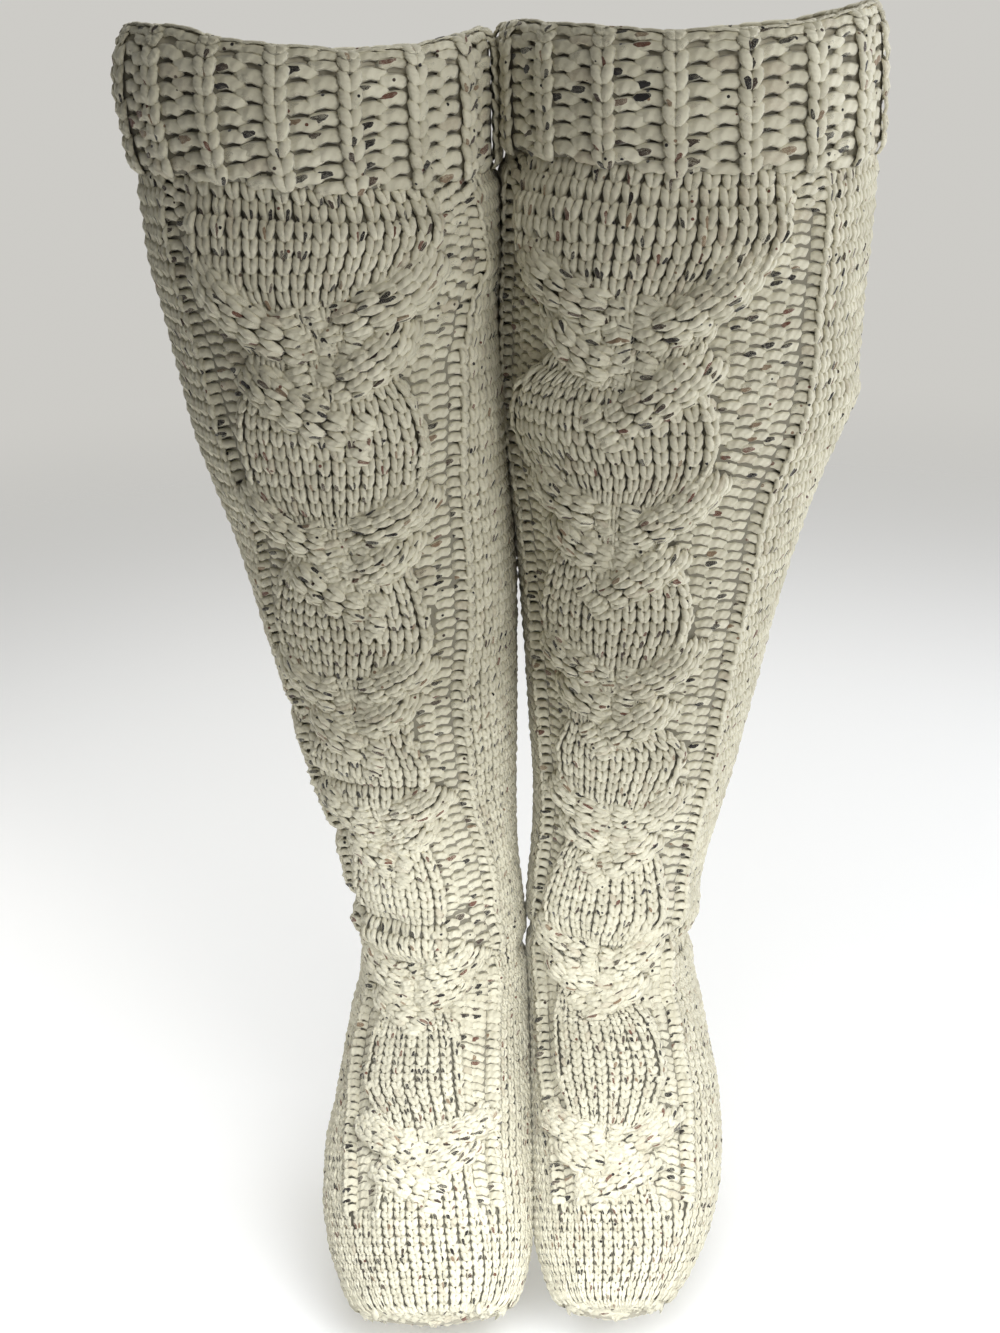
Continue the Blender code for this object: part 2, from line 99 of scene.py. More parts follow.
# %% Sections and pattern lines
SECTIONS = (
    # down, y, z, tilt, front, back, right x, right half, left x, left half
    (0, 0, 0, 0, 80.0, 84.0, -92.0, 85.2, 94.4, 87.7),
    (28, 0, -28, 0, 79.5, 83.5, -93.6, 86.8, 95.2, 88.5),
    (60, 0, -60, 0, 78.3, 83.5, -91.4, 84.6, 95.2, 88.5),
    (71, 0, -71, 0, 78.5, 84.5, -89.6, 88.3, 93.8, 92.4),
    (104, 0, -104, 0, 78.0, 83.5, -88.4, 87.6, 92.3, 91.9),
    (133, 0, -133, 0, 77.0, 82.0, -86.6, 83.8, 89.9, 91.8),
    (162, 0, -162, 0, 77.0, 79.0, -83.9, 81.7, 89.3, 90.8),
    (190, 0, -190, 0, 75.0, 75.5, -81.0, 79.9, 88.0, 88.3),
    (218, 0, -218, 0, 71.0, 73.5, -76.8, 76.7, 83.2, 82.4),
    (247, 0, -247, 0, 66.5, 73.0, -71.7, 72.9, 79.0, 76.2),
    (276, 0, -276, 0, 62.7, 74.0, -68.1, 69.8, 75.9, 70.8),
    (304, 0, -304, 0, 60.0, 74.0, -65.3, 66.6, 73.0, 66.3),
    (332, 0, -332, 0, 57.0, 72.0, -62.5, 63.1, 70.6, 62.6),
    (361, 0, -361, 0, 54.0, 68.5, -60.2, 60.0, 67.6, 58.7),
    (390, 0, -390, 0, 51.0, 63.6, -57.2, 55.9, 64.8, 54.7),
    (418, 0, -418, 0, 48.5, 58.0, -53.7, 51.8, 61.0, 51.0),
    (446, 0, -446, 0, 46.6, 53.2, -49.9, 48.7, 56.0, 48.4),
    (475, 0, -475, 0, 45.6, 49.4, -46.8, 48.0, 51.9, 47.4),
    (496, 0, -496, 0, 44.6, 48.4, -43.7, 46.4, 50.3, 47.0),
    (517, -1, -517, 5, 44.8, 50.5, -44.5, 47.1, 50.4, 46.9),
    (539, -4, -539, 16, 53.4, 60.2, -47.5, 49.9, 52.8, 48.7),
    (565, -20, -560, 23, 55.8, 62.9, -50.0, 52.4, 54.4, 50.5),
    (595, -46, -573, 25, 48.7, 55.0, -52.0, 54.2, 55.4, 51.9),
    (625, -73, -586, 27, 42.1, 47.5, -54.5, 56.5, 54.7, 51.8),
    (654, -99, -600, 29, 36.8, 41.5, -55.1, 56.8, 52.8, 50.3),
    (682, -124, -613, 32, 30.5, 34.4, -54.2, 54.4, 48.7, 46.5),
    (707, -147, -622, 36, 22.7, 25.6, -52.7, 48.9, 45.0, 38.6),
    (725, -164, -629, 44, 14.2, 16.0, -52.4, 41.2, 42.5, 28.8),
    (731, -170, -632, 50, 6.5, 7.5, -52.4, 27.0, 42.5, 17.0),
)
TOE_TIP = {"right": (-52.4, -172.5, -633.5), "left": (42.5, -172.5, -633.5)}

LINES = {
    # down, strip from, cable from, cable to, strip to
    "right": (
        (0, -53, -43, 44, 60), (78, -53, -42, 43, 60), (105, -51, -40, 34, 64),
        (125, -50, -30, 24, 54), (140, -49, -26, 22, 51), (150, -48, -27, 23, 48),
        (168, -48, -35, 29, 47), (185, -47, -38, 31, 45), (211, -47, -38, 26, 42),
        (229, -48, -33, 17, 41), (246, -50, -33, 14, 40), (262, -55, -42, 18, 39),
        (290, -62, -51, 21, 38), (310, -63, -50, 14, 35), (330, -63, -43, 6, 32),
        (345, -63, -43, 6, 32), (370, -67, -54, 13, 33), (392, -66, -50, 8, 33),
        (408, -64, -42, 6, 36), (424, -64, -45, 8, 40), (447, -68, -54, 11, 43),
        (475, -66, -52, 6, 41), (500, -62, -42, 2, 39), (520, -60, -40, 4, 38),
        (545, -58, -44, 14, 37), (575, -57, -45, 18, 37), (602, -52, -32, 20, 38),
        (625, -48, -24, 22, 38), (650, -46, -28, 26, 40), (690, -46, -34, 32, 44),
        (731, -46, -36, 36, 46),
    ),
    "left": (
        (0, -76, -64, 28, 41), (83, -76, -64, 27, 40), (104, -76, -62, 21, 40),
        (122, -75, -52, 10, 40), (138, -75, -46, 5, 40), (150, -76, -48, 1, 40),
        (168, -79, -64, 6, 39), (185, -80, -68, 9, 38), (205, -76, -58, 8, 35),
        (225, -70, -47, 0, 34), (245, -68, -44, -2, 35), (262, -68, -50, 8, 37),
        (287, -68, -56, 13, 38), (308, -67, -52, 8, 38), (325, -66, -43, 2, 38),
        (345, -65, -42, 5, 38), (366, -64, -50, 22, 40), (392, -63, -46, 14, 41),
        (409, -62, -38, 8, 41), (430, -64, -46, 20, 43), (460, -66, -54, 31, 45),
        (482, -64, -44, 18, 44), (500, -62, -34, 12, 42), (522, -60, -42, 16, 40),
        (545, -60, -47, 23, 38), (569, -60, -47, 26, 37), (600, -55, -40, 16, 37),
        (625, -50, -34, 6, 36), (650, -48, -34, 14, 38), (690, -46, -34, 28, 42),
        (731, -46, -36, 34, 46),
    ),
}
print(len(SECTIONS), "sections, and", [len(LINES[s]) for s in SIDES], "rows of pattern lines")

# %% [markdown]
# The cable crosses six times down each leg. At each crossing four short strands pass over and
# under each other, bent from the run of the columns above into a slant. Between two crossings the
# columns bow out into an oval. Folds gather at the ankles, and a few soft ones lie elsewhere.

# %% Crossings, strands and folds
CROSSINGS = {
    # down, middle in degrees, size beside the first, columns in the oval above it
    "right": ((138, -2, 1.00, 16), (243, -9, 0.80, 14), (331, -20, 0.68, 12),
              (406, -19, 0.58, 10), (508, -20, 0.60, 8), (627, -3, 0.62, 9)),
    "left": ((138, -19, 1.00, 16), (240, -20, 0.80, 15), (327, -17, 0.68, 12),
             (410, -13, 0.60, 11), (500, -11, 0.62, 11), (629, -13, 0.62, 10)),
}
STRANDS = (
    # Millimetres round and down: start, bend, end. Then half width, and height at start and end.
    (62, -42, 44, -20, -8, -10, 10.0, 0.45, 0.30),
    (-55, -42, -42, -12, 13, 4, 10.0, 0.45, 0.25),
    (42, -14, 30, 9, -7, 18, 10.0, 0.30, 0.25),
    (-36, 7, -22, 25, 13, 43, 10.5, 0.30, 0.50),
)
FOLDS = {
    # angle and down of both ends, half width, depth (a roll is negative)
    "right": (
        (-112, 344, -44, 350, 7.0, 3.4), (-70, 376, 2, 380, 5.0, 2.6),
        (-110, 427, -14, 414, 6.0, 3.4), (-105, 466, -25, 464, 7.0, 4.2),
        (-30, 470, 22, 462, 5.0, 3.2), (-95, 498, -48, 484, 6.0, 3.0),
        (-60, 476, 38, 481, 9.0, -2.8), (-45, 492, 45, 494, 6.0, 3.2),
        (70, 498, 118, 508, 7.0, 2.6), (128, 480, 178, 470, 7.0, 2.4),
        (150, 518, 215, 512, 8.0, 2.6), (110, 205, 165, 190, 11.0, 2.2),
        (195, 200, 240, 214, 11.0, 2.0), (100, 452, 150, 446, 6.0, 1.8),
        (210, 466, 262, 474, 7.0, 2.2),
    ),
    "left": (
        (-55, 398, 20, 404, 5.0, 1.8), (-30, 420, 30, 424, 5.0, 2.6),
        (-62, 462, -20, 470, 6.0, 2.0), (-42, 482, 48, 484, 7.0, 3.6),
        (-50, 466, 45, 467, 10.0, -2.6), (55, 496, 110, 500, 7.0, 3.6),
        (60, 480, 105, 478, 8.0, -1.6), (-110, 496, -60, 486, 6.0, 2.6),
        (140, 514, 205, 520, 8.0, 2.6), (120, 472, 175, 480, 7.0, 2.2),
        (190, 452, 250, 446, 7.0, 2.0), (100, 196, 160, 212, 11.0, 2.2),
        (195, 208, 245, 192, 11.0, 2.0), (60, 176, 96, 186, 9.0, -2.4),
    ),
}
RIM = {
    # Degrees round the leg, and height of the cuff's fold there. It dips behind the thigh.
    "right": ((-180, -17), (-135, -7), (-90, 6), (-63, 11), (-44, 12), (-17, 6), (0, 3.5), (20, 0),
              (46, 1), (61, 2), (90, 1), (119, -7), (134, -12), (180, -17)),
    "left": ((-180, -13), (-143, -7), (-118, -2), (-90, 3), (-62, 7), (-37, 7), (-10, 5), (13, 5),
             (42, 7), (60, 9), (80, 9.5), (105, 4.5), (120, 0), (138, -6), (180, -13)),
}
HEM = {
    # Degrees round the leg, and height of the cuff's lower edge above its level.
    "right": ((-180, 2), (-90, 1), (-47, 5), (-12, 2), (15, -2), (66, -2), (120, 0), (180, 2)),
    "left": ((-180, 2), (-90, 5), (-59, 7), (-22, 5), (-8, 2), (15, 2), (45, -1), (70, 1), (180, 2)),
}
CUFF_HEM = 60.0 * MM
print("crossings:", {side: len(CROSSINGS[side]) for side in SIDES})

# %% [markdown]
# ## Reading the tables
# Every column of a table becomes a smooth curve, sampled once for each millimetre. Blender has
# curves of its own, but numpy reads thousands of places in one call, so the functions below work on
# whole arrays of stitches at once.

# %% Smooth curves
LAST = SECTIONS[-1][0]
STEPS = np.arange(0, LAST + 1, dtype=float)


def smooth(t):
    """A soft step from 0 to 1."""
    t = np.clip(t, 0.0, 1.0)
    return t * t * (3.0 - 2.0 * t)


def curve(table, column, at=STEPS):
    """One column of a table at every place, joined smoothly through its rows."""
    rows = np.array(table, float)
    x = rows[:, 0]
    y = rows[:, column]
    slopes = np.diff(y) / np.diff(x)
    ends = np.concatenate([slopes[:1], slopes, slopes[-1:]])
    before = ends[:-1]
    after = ends[1:]
    total = before + after
    safe = np.where(np.abs(total) < 1e-12, 1.0, total)
    tangent = np.where(before * after <= 0, 0.0, 2.0 * before * after / safe)
    i = np.clip(np.searchsorted(x, at, side="right") - 1, 0, len(x) - 2)
    span = x[i + 1] - x[i]
    t = (at - x[i]) / span
    value = (2 * t**3 - 3 * t**2 + 1) * y[i] + (3 * t**2 - 2 * t**3) * y[i + 1]
    value += span * ((t**3 - 2 * t**2 + t) * tangent[i] + (t**3 - t**2) * tangent[i + 1])
    return value


print("curves have", len(STEPS), "samples")

# %% Places on the stocking
RIGHT_COLUMN, LEFT_COLUMN = 6, 8
HEM_SETTLES = 40 * MM
CURVES = {}
for side in SIDES:
    first = RIGHT_COLUMN if side == "right" else LEFT_COLUMN
    names = ("y", "z", "tilt", "front", "back", "x", "half")
    numbers = (1, 2, 3, 4, 5, first, first + 1)
    CURVES[side] = {name: curve(SECTIONS, c) for name, c in zip(names, numbers)}
    for c, name in enumerate(("strip_from", "cable_from", "cable_to", "strip_to"), 1):
        CURVES[side][name] = curve(LINES[side], c)
TURN = np.arange(-180.0, 181.0)
WAVES = {}
for side in SIDES:
    WAVES[side, "rim"] = curve(RIM[side], 1, TURN)
    WAVES[side, "hem"] = curve(HEM[side], 1, TURN)


def read(side, name, down):
    """A curve's value at a distance down the stocking, in metres."""
    return np.interp(np.asarray(down) / MM, STEPS, CURVES[side][name])


def top_lift(side, degrees, down):
    """How far the wavy rim and hem lift the cloth, in the cuff and in the leg under it."""
    turned = (np.asarray(degrees) + 180.0) % 360.0 - 180.0
    rim = np.interp(turned, TURN, WAVES[side, "rim"]) * MM
    hem = np.interp(turned, TURN, WAVES[side, "hem"]) * MM
    share = np.clip(down / CUFF_HEM, 0.0, 1.0)
    return rim * (1 - share) + hem * share * (1 - smooth((down - CUFF_HEM) / HEM_SETTLES))


def place(side, degrees, down, out=0.0):
    """Points at angles round the leg, distances down it and distances out of it."""
    lift = top_lift(side, degrees, down)
    angle = np.radians(degrees)
    across, ahead = np.sin(angle), np.cos(angle)
    tilt = np.radians(read(side, "tilt", down))
    depth = np.where(ahead > 0, read(side, "front", down), read(side, "back", down)) * MM + out
    x = read(side, "x", down) * MM + (read(side, "half", down) * MM + out) * across
    y = read(side, "y", down) * MM - depth * ahead * np.cos(tilt)
    z = read(side, "z", down) * MM + depth * ahead * np.sin(tilt) + lift
    return np.stack(np.broadcast_arrays(x, y, z), axis=-1)


def per_degree(side, down):
    """How many metres of cloth one degree is, near the front of the leg."""
    return math.radians(1.0) * read(side, "half", down) * MM


KNEE, TOE = 0.16, 0.72
print("right knee at", place("right", 0, KNEE).round(3), "left toe at", place("left", 0, TOE).round(3))

# %% [markdown]
# ## The relief
# The cable's ovals are padded, the purl strips are sunk, and a knit rib stands along each strip.
# A strand follows a bent line, and rises and dives along it. The relief could be sculpted, or come
# from a displacement picture. A formula is chosen because every stitch can ask it for its height.

# %% Height of the strands
STRAND_RISE = 9.5 * MM
PIECES_OF_LINE = 12


def strand_line(side, crossing, strand, t):
    """A strand's middle line, in metres round and down from its crossing."""
    hand = 1.0 if side == "right" else -1.0
    scale = crossing[2] * MM
    u1, v1, ub, vb, u2, v2 = [c * scale for c in strand[:6]]
    a, b, c = (1 - t) ** 2, 2 * t * (1 - t), t**2
    return hand * (a * u1 + b * ub + c * u2), a * v1 + b * vb + c * v2


def strand_half(crossing, strand):
    """Half of a strand's width. It shrinks less than the crossing does."""
    return strand[6] * MM * (0.5 + 0.5 * crossing[2])


def strand_rise(crossing, strand, t, offset):
    """Height of a strand along it and across it."""
    first, last = strand[7], strand[8]
    along = first + (1 - first) * smooth(t / 0.32)
    along = along - (1 - last) * smooth((t - 0.62) / 0.38)
    reach = strand_half(crossing, strand) * 1.12
    round_over = np.sqrt(np.clip(1 - (offset / reach) ** 2, 0.0, 1.0))
    return STRAND_RISE * (0.4 + 0.6 * crossing[2]) * along * round_over


def strands_height(side, degrees, down):
    """Height of the highest strand over each point, or 0."""
    best = np.zeros(np.broadcast(degrees, down).shape)
    for crossing in CROSSINGS[side]:
        v = down - crossing[0] * MM
        u = (degrees - crossing[1]) * per_degree(side, down)
        for strand in STRANDS:
            half = strand_half(crossing, strand)
            ts = np.linspace(0, 1, PIECES_OF_LINE + 1)
            lu, lv = strand_line(side, crossing, strand, ts)
            gap = np.full(best.shape, 1.0)
            spot = np.zeros(best.shape)
            for k in range(PIECES_OF_LINE):
                du, dv = lu[k + 1] - lu[k], lv[k + 1] - lv[k]
                s = ((u - lu[k]) * du + (v - lv[k]) * dv) / (du * du + dv * dv)
                s = np.clip(s, 0, 1)
                d = np.hypot(u - lu[k] - s * du, v - lv[k] - s * dv)
                nearer = d < gap
                gap = np.where(nearer, d, gap)
                spot = np.where(nearer, ts[k] + s / PIECES_OF_LINE, spot)
            height = np.where(gap < half * 0.88, strand_rise(crossing, strand, spot, gap * 1.25), 0.0)
            past_end = (spot < 1e-3) | (spot > 0.999)
            height = np.where(past_end, height * (1.0 - smooth(gap / (0.5 * half))), height)
            best = np.maximum(best, height)
    return best


first_down, first_angle = CROSSINGS["right"][0][:2]
high = strands_height("right", float(first_angle), first_down * MM)
print("the first strands are", round(float(high) / MM, 1), "mm high at the middle of their crossing")

# %% Folds and relief
# The relief grows from the cuff's edge on and ends before the toe. Where the leg is slimmer than
# the thigh, the padding is lower.
RELIEF_FROM = 70 * MM
RELIEF_GROWS = 14 * MM
RELIEF_TO = 655 * MM
RELIEF_ENDS = 30 * MM
THIGH_HALF = 90.0
CABLE_RISE = 4.8 * MM
CABLE_EDGE = 6.0 * MM
PURL_DEPTH = 1.8 * MM
PURL_EDGE = 3 * MM
RIB_RISE = 1.2 * MM
RIB_WIDTH = 6 * MM
RIB_EDGE = 4 * MM
FOLD_DEPTH = 1.25


def folds_height(side, degrees, down):
    """What the soft folds add."""
    total = np.zeros(np.broadcast(degrees, down).shape)
    metres = per_degree(side, down)
    for a1, d1, a2, d2, half, depth in FOLDS[side]:
        turned = degrees + 360.0 * np.round(((a1 + a2) / 2 - degrees) / 360.0)
        x, y = turned * metres, down
        x1, y1, x2, y2 = a1 * metres, d1 * MM, a2 * metres, d2 * MM
        t = ((x - x1) * (x2 - x1) + (y - y1) * (y2 - y1)) / ((x2 - x1) ** 2 + (y2 - y1) ** 2)
        t = np.clip(t, 0, 1)
        gap = np.hypot(x - x1 - t * (x2 - x1), y - y1 - t * (y2 - y1))
        total = total - FOLD_DEPTH * depth * MM * np.exp(-((gap / (half * MM)) ** 2))
    return total


def relief(side, degrees, down, strands=False):
    """How far the cloth stands out of the plain form, with or without the strands."""
    degrees, down = np.broadcast_arrays(np.asarray(degrees, float), np.asarray(down, float))
    lines = [read(side, n, down) for n in ("strip_from", "cable_from", "cable_to", "strip_to")]
    metres = per_degree(side, down)
    turned = degrees - 360.0 * np.round(degrees / 360.0)
    inside = np.minimum(turned - lines[1], lines[2] - turned) * metres
    strip = np.minimum(turned - lines[0], lines[3] - turned) * metres
    padded = CABLE_RISE * smooth((inside + 1.5 * MM) / CABLE_EDGE)
    sunk = -PURL_DEPTH * smooth(strip / PURL_EDGE)
    rib = RIB_RISE * smooth((strip + RIB_WIDTH) / RIB_EDGE)
    height = np.where(inside > 0, padded, np.where(strip > 0, sunk, rib))
    small = 0.55 + 0.45 * np.minimum(1.0, read(side, "half", down) / THIGH_HALF)
    height = np.where(inside > 0, height * small, height)
    if strands:
        height = np.maximum(height, strands_height(side, turned, down))
    begins = smooth((down - RELIEF_FROM) / RELIEF_GROWS)
    ends = 1.0 - smooth((down - RELIEF_TO) / RELIEF_ENDS)
    return height * begins * ends + begins * folds_height(side, turned, down)


def hidden(side, degrees, down, limit=3.4 * MM):
    """Whether a strand lies well above the cloth there."""
    cloth = relief(side, degrees, down) - folds_height(side, degrees, down)
    return strands_height(side, degrees, down) - cloth > limit


print("relief at the first oval:", relief("right", 0.0, 0.1).round(4))

# %% [markdown]
# ## The yarn
# Cream tweed yarn, spun with odd bits of brown, tan and rust wool. A noise over the whole cloth
# could give the flecks, but it would cut across the stitches. So a fleck lies along a lobe of yarn,
# found from the lobe's own UV map, and only finer specks come from Voronoi cells in object space.
# Each stitch has its own tone, and the plies' twist is a fine bump along each lobe.

# %% Yarn colours and node helpers
CREAM = (0.735, 0.692, 0.530, 1.0)
SHADE = (0.550, 0.510, 0.375, 1.0)
INSIDE_CREAM = (0.50, 0.455, 0.34, 1.0)
# The next colour is painted shade: the dark cloth that shows in the gaps between stitches, where shade
# falls.
GAP_SHADE = (0.230, 0.212, 0.155, 1.0)
FLECKS = ((0.0, (0.018, 0.015, 0.013, 1.0)), (0.52, (0.060, 0.040, 0.028, 1.0)),
          (0.72, (0.250, 0.170, 0.100, 1.0)), (0.86, (0.150, 0.065, 0.040, 1.0)))
TINT = (0.380, 0.285, 0.190, 1.0)
# Shares of the lobes that carry a fleck or a tint, and half sizes of a fleck along and across one.
FLECK_SHARE = 0.23
TINT_SHARE = 0.035
FLECK_ALONG = 0.21
FLECK_ACROSS = 0.17


def link(tree, node, out, other, into):
    """Joins an output of one node to an input of another."""
    tree.links.new(node.outputs[out], other.inputs[into])


def math_node(tree, kind, a, b=None, c=None):
    """A Math node. Each input is a number or a (node, output) pair."""
    node = tree.nodes.new("ShaderNodeMath")
    node.operation = kind
    for i, value in enumerate((a, b, c)):
        if isinstance(value, tuple):
            tree.links.new(value[0].outputs[value[1]], node.inputs[i])
        elif value is not None:
            node.inputs[i].default_value = value
    return node


def mix_colour(tree, share, below, above):
    """A Mix node for colours. below and above are colours or (node, output) pairs."""
    node = tree.nodes.new("ShaderNodeMix")
    node.data_type = "RGBA"
    tree.links.new(share[0].outputs[share[1]], node.inputs[0])
    for slot, value in ((6, below), (7, above)):
        if len(value) == 2:
            tree.links.new(value[0].outputs[value[1]], node.inputs[slot])
        else:
            node.inputs[slot].default_value = value
    return node


def object_texture(tree, where, kind, scale, detail=None):
    """A texture node that reads the piece's Object coordinates."""
    node = tree.nodes.new(kind)
    node.inputs["Scale"].default_value = scale
    if detail is not None:
        node.inputs["Detail"].default_value = detail
    link(tree, where, "Object", node, "Vector")
    return node


print("fleck colours:", len(FLECKS))

# %% Flecks and specks
def fleck_colours(tree, source):
    """A ramp from a random number to one of the flecks' colours."""
    ramp = tree.nodes.new("ShaderNodeValToRGB")
    ramp.color_ramp.interpolation = "CONSTANT"
    ramp.color_ramp.elements[0].color = FLECKS[0][1]
    ramp.color_ramp.elements[1].position = FLECKS[1][0]
    ramp.color_ramp.elements[1].color = FLECKS[1][1]
    for position, colour in FLECKS[2:]:
        ramp.color_ramp.elements.new(position).color = colour
    tree.links.new(source[0].outputs[source[1]], ramp.inputs["Fac"])
    return ramp


def lobe_flecks(tree, where, tone):
    """A dash of colour along some lobes, and the random numbers that colour it."""
    flat = tree.nodes.new("ShaderNodeSeparateXYZ")
    link(tree, where, "UV", flat, "Vector")
    number = math_node(tree, "FLOOR", (flat, "X"))
    along = math_node(tree, "FRACT", (flat, "X"))
    seed = math_node(tree, "MULTIPLY_ADD", (tone, "Fac"), 913.7, (number, 0))
    random = tree.nodes.new("ShaderNodeTexWhiteNoise")
    random.noise_dimensions = "1D"
    tree.links.new(seed.outputs[0], random.inputs["W"])
    parts = tree.nodes.new("ShaderNodeSeparateColor")
    link(tree, random, "Color", parts, "Color")
    middle = math_node(tree, "MULTIPLY_ADD", (parts, "Red"), 0.5, 0.25)
    away = math_node(tree, "SUBTRACT", (along, 0), (middle, 0))
    away = math_node(tree, "DIVIDE", (away, 0), FLECK_ALONG)
    away = math_node(tree, "POWER", (away, 0), 2.0)
    aim = math_node(tree, "MULTIPLY_ADD", (parts, "Green"), 0.5, 0.25)
    side = math_node(tree, "SUBTRACT", (flat, "Y"), (aim, 0))
    side = math_node(tree, "DIVIDE", (side, 0), FLECK_ACROSS)
    side = math_node(tree, "POWER", (side, 0), 2.0)
    gap = math_node(tree, "ADD", (away, 0), (side, 0))
    ragged = object_texture(tree, where, "ShaderNodeTexNoise", 420.0)
    reach = math_node(tree, "MULTIPLY_ADD", (ragged, "Fac"), 1.5, 0.1)
    both = math_node(tree, "LESS_THAN", (gap, 0), (reach, 0))
    chosen = math_node(tree, "LESS_THAN", (random, "Value"), FLECK_SHARE)
    tinted = math_node(tree, "GREATER_THAN", (random, "Value"), 1.0 - TINT_SHARE)
    tinted = math_node(tree, "MULTIPLY", (tinted, 0), (ragged, "Fac"))
    tinted = math_node(tree, "MULTIPLY", (tinted, 0), 0.55)
    return math_node(tree, "MULTIPLY", (both, 0), (chosen, 0)), (parts, "Blue"), flat, tinted


def fine_specks(tree, where, cells=250.0, reach=0.22, share=0.10):
    """Specks in a share of the Voronoi cells, and the random numbers that colour them."""
    voronoi = object_texture(tree, where, "ShaderNodeTexVoronoi", cells)
    parts = tree.nodes.new("ShaderNodeSeparateColor")
    link(tree, voronoi, "Color", parts, "Color")
    near = math_node(tree, "LESS_THAN", (voronoi, "Distance"), reach)
    chosen = math_node(tree, "LESS_THAN", (parts, "Red"), share)
    return math_node(tree, "MULTIPLY", (near, 0), (chosen, 0)), (parts, "Green")


print("share of lobes with a fleck:", FLECK_SHARE)

# %% Yarn material
PLY_TURNS = 4.0


def yarn_material(name, cream, shade, stitches=True):
    """Tweed yarn. cream and shade are the lightest and darkest tones of its stitches; on the shell, shade
    is painted shade.
    """
    material = bpy.data.materials.new(name)
    material.use_nodes = True
    tree = material.node_tree
    shader = tree.nodes["Principled BSDF"]
    shader.inputs["Roughness"].default_value = 0.95
    shader.inputs["Specular IOR Level"].default_value = 0.22
    shader.inputs["Sheen Weight"].default_value = 0.20
    shader.inputs["Sheen Roughness"].default_value = 0.6
    where = tree.nodes.new("ShaderNodeTexCoord")
    tone = tree.nodes.new("ShaderNodeAttribute")
    tone.attribute_name = "tone"
    cloud = object_texture(tree, where, "ShaderNodeTexNoise", 24.0, 3.0)
    mixed = math_node(tree, "MULTIPLY_ADD", (cloud, "Fac"), 0.8, -0.4)
    mixed = math_node(tree, "ADD", (mixed, 0), (tone, "Fac"))
    mixed.use_clamp = True
    base = mix_colour(tree, (mixed, 0), shade, cream)
    fuzz = object_texture(tree, where, "ShaderNodeTexNoise", 900.0, 2.0)
    height = (fuzz, "Fac")
    if stitches:
        specks, speck_random = fine_specks(tree, where)
        base = mix_colour(tree, (specks, 0), (base, 2), (fleck_colours(tree, speck_random), "Color"))
        dash, dash_random, flat, tinted = lobe_flecks(tree, where, tone)
        base = mix_colour(tree, (tinted, 0), (base, 2), TINT)
        base = mix_colour(tree, (dash, 0), (base, 2), (fleck_colours(tree, dash_random), "Color"))
        run = math_node(tree, "MULTIPLY", (flat, "X"), PLY_TURNS * math.tau)
        lean = math_node(tree, "MULTIPLY_ADD", (flat, "Y"), math.tau, (run, 0))
        plies = math_node(tree, "SINE", (lean, 0))
        height = (math_node(tree, "MULTIPLY_ADD", (fuzz, "Fac"), 1.2, (plies, 0)), 0)
    tree.links.new(base.outputs[2], shader.inputs["Base Color"])
    bump = tree.nodes.new("ShaderNodeBump")
    bump.inputs["Strength"].default_value = 0.5
    bump.inputs["Distance"].default_value = 0.0004
    tree.links.new(height[0].outputs[height[1]], bump.inputs["Height"])
    link(tree, bump, "Normal", shader, "Normal")
    return material


leg_yarn = yarn_material("tweed_yarn_leg", CREAM, SHADE)
cuff_yarn = yarn_material("tweed_yarn_cuff", CREAM, SHADE)
# The shell's dark tone is painted shade for the gaps between stitches.
shell_yarn = yarn_material("tweed_yarn_shell_gap_shade", INSIDE_CREAM, GAP_SHADE, stitches=False)
print("materials:", [m.name for m in (leg_yarn, cuff_yarn, shell_yarn)])

# %% [markdown]
# ## The stitches
# A stitch is one unit wide (X), one tall (Y) and one deep (Z, out of the cloth). A knit stitch is
# two fat lobes that open upwards in a V. A purl stitch is one arched pill across the column. A real
# stitch is a long loop of yarn, and a bevelled curve could follow it. Only its front shows, and there
# are thousands, so each is made of blunt lobes with a few dozen faces.

# %% A lobe of yarn
LOBE_RING = ((-1.0, -0.30), (-0.62, 0.74), (0.62, 0.74), (1.0, -0.30))


def lobe(points, radii, number=0):
    """A closed lobe along a line of points. radii are (across, up) at each inner point."""
    line = np.array(points, float)
    verts, faces, uvs = [line[0]], [], [(number + 0.02, 0.5)]
    inner = line[1:-1]
    for k, (spot, (wide, high)) in enumerate(zip(inner, radii)):
        ahead = line[k + 2] - line[k]
        ahead = ahead / np.linalg.norm(ahead)
        sideways = np.cross(ahead, (0.0, 0.0, 1.0))
        sideways /= np.linalg.norm(sideways)
        for i, (a, b) in enumerate(LOBE_RING):
            verts.append(spot + sideways * a * wide + np.array((0, 0, b * high)))
            uvs.append((number + (k + 1) / (len(line) - 1), i / (len(LOBE_RING) - 1)))
    verts.append(line[-1])
    uvs.append((number + 0.98, 0.5))
    count = len(LOBE_RING)
    tip = len(verts) - 1
    for i in range(count):
        j = (i + 1) % count
        faces.append((0, 1 + j, 1 + i))
        for k in range(len(inner) - 1):
            a, b = 1 + k * count, 1 + (k + 1) * count
            faces.append((a + i, a + j, b + j, b + i))
        last = 1 + (len(inner) - 1) * count
        faces.append((last + i, last + j, tip))
    return verts, faces, uvs


print("points round a lobe:", len(LOBE_RING))

# %% Knit and purl stitches
def stitch_mesh(name, lobes):
    """Joins lobes into one mesh, with a UV map that runs along each of them."""
    verts, faces, uvs = [], [], []
    for v, f, u in lobes:
        start = len(verts)
        verts += [tuple(p) for p in v]
        uvs += u
        faces += [tuple(start + i for i in face) for face in f]
    mesh = bpy.data.meshes.new(name)
    mesh.from_pydata(verts, [], faces)
    layer = mesh.uv_layers.new(name="UVMap")
    for loop in mesh.loops:
        layer.data[loop.index].uv = uvs[loop.vertex_index]
    mesh.polygons.foreach_set("use_smooth", [True] * len(mesh.polygons))
    return bpy.data.objects.new(name, mesh)


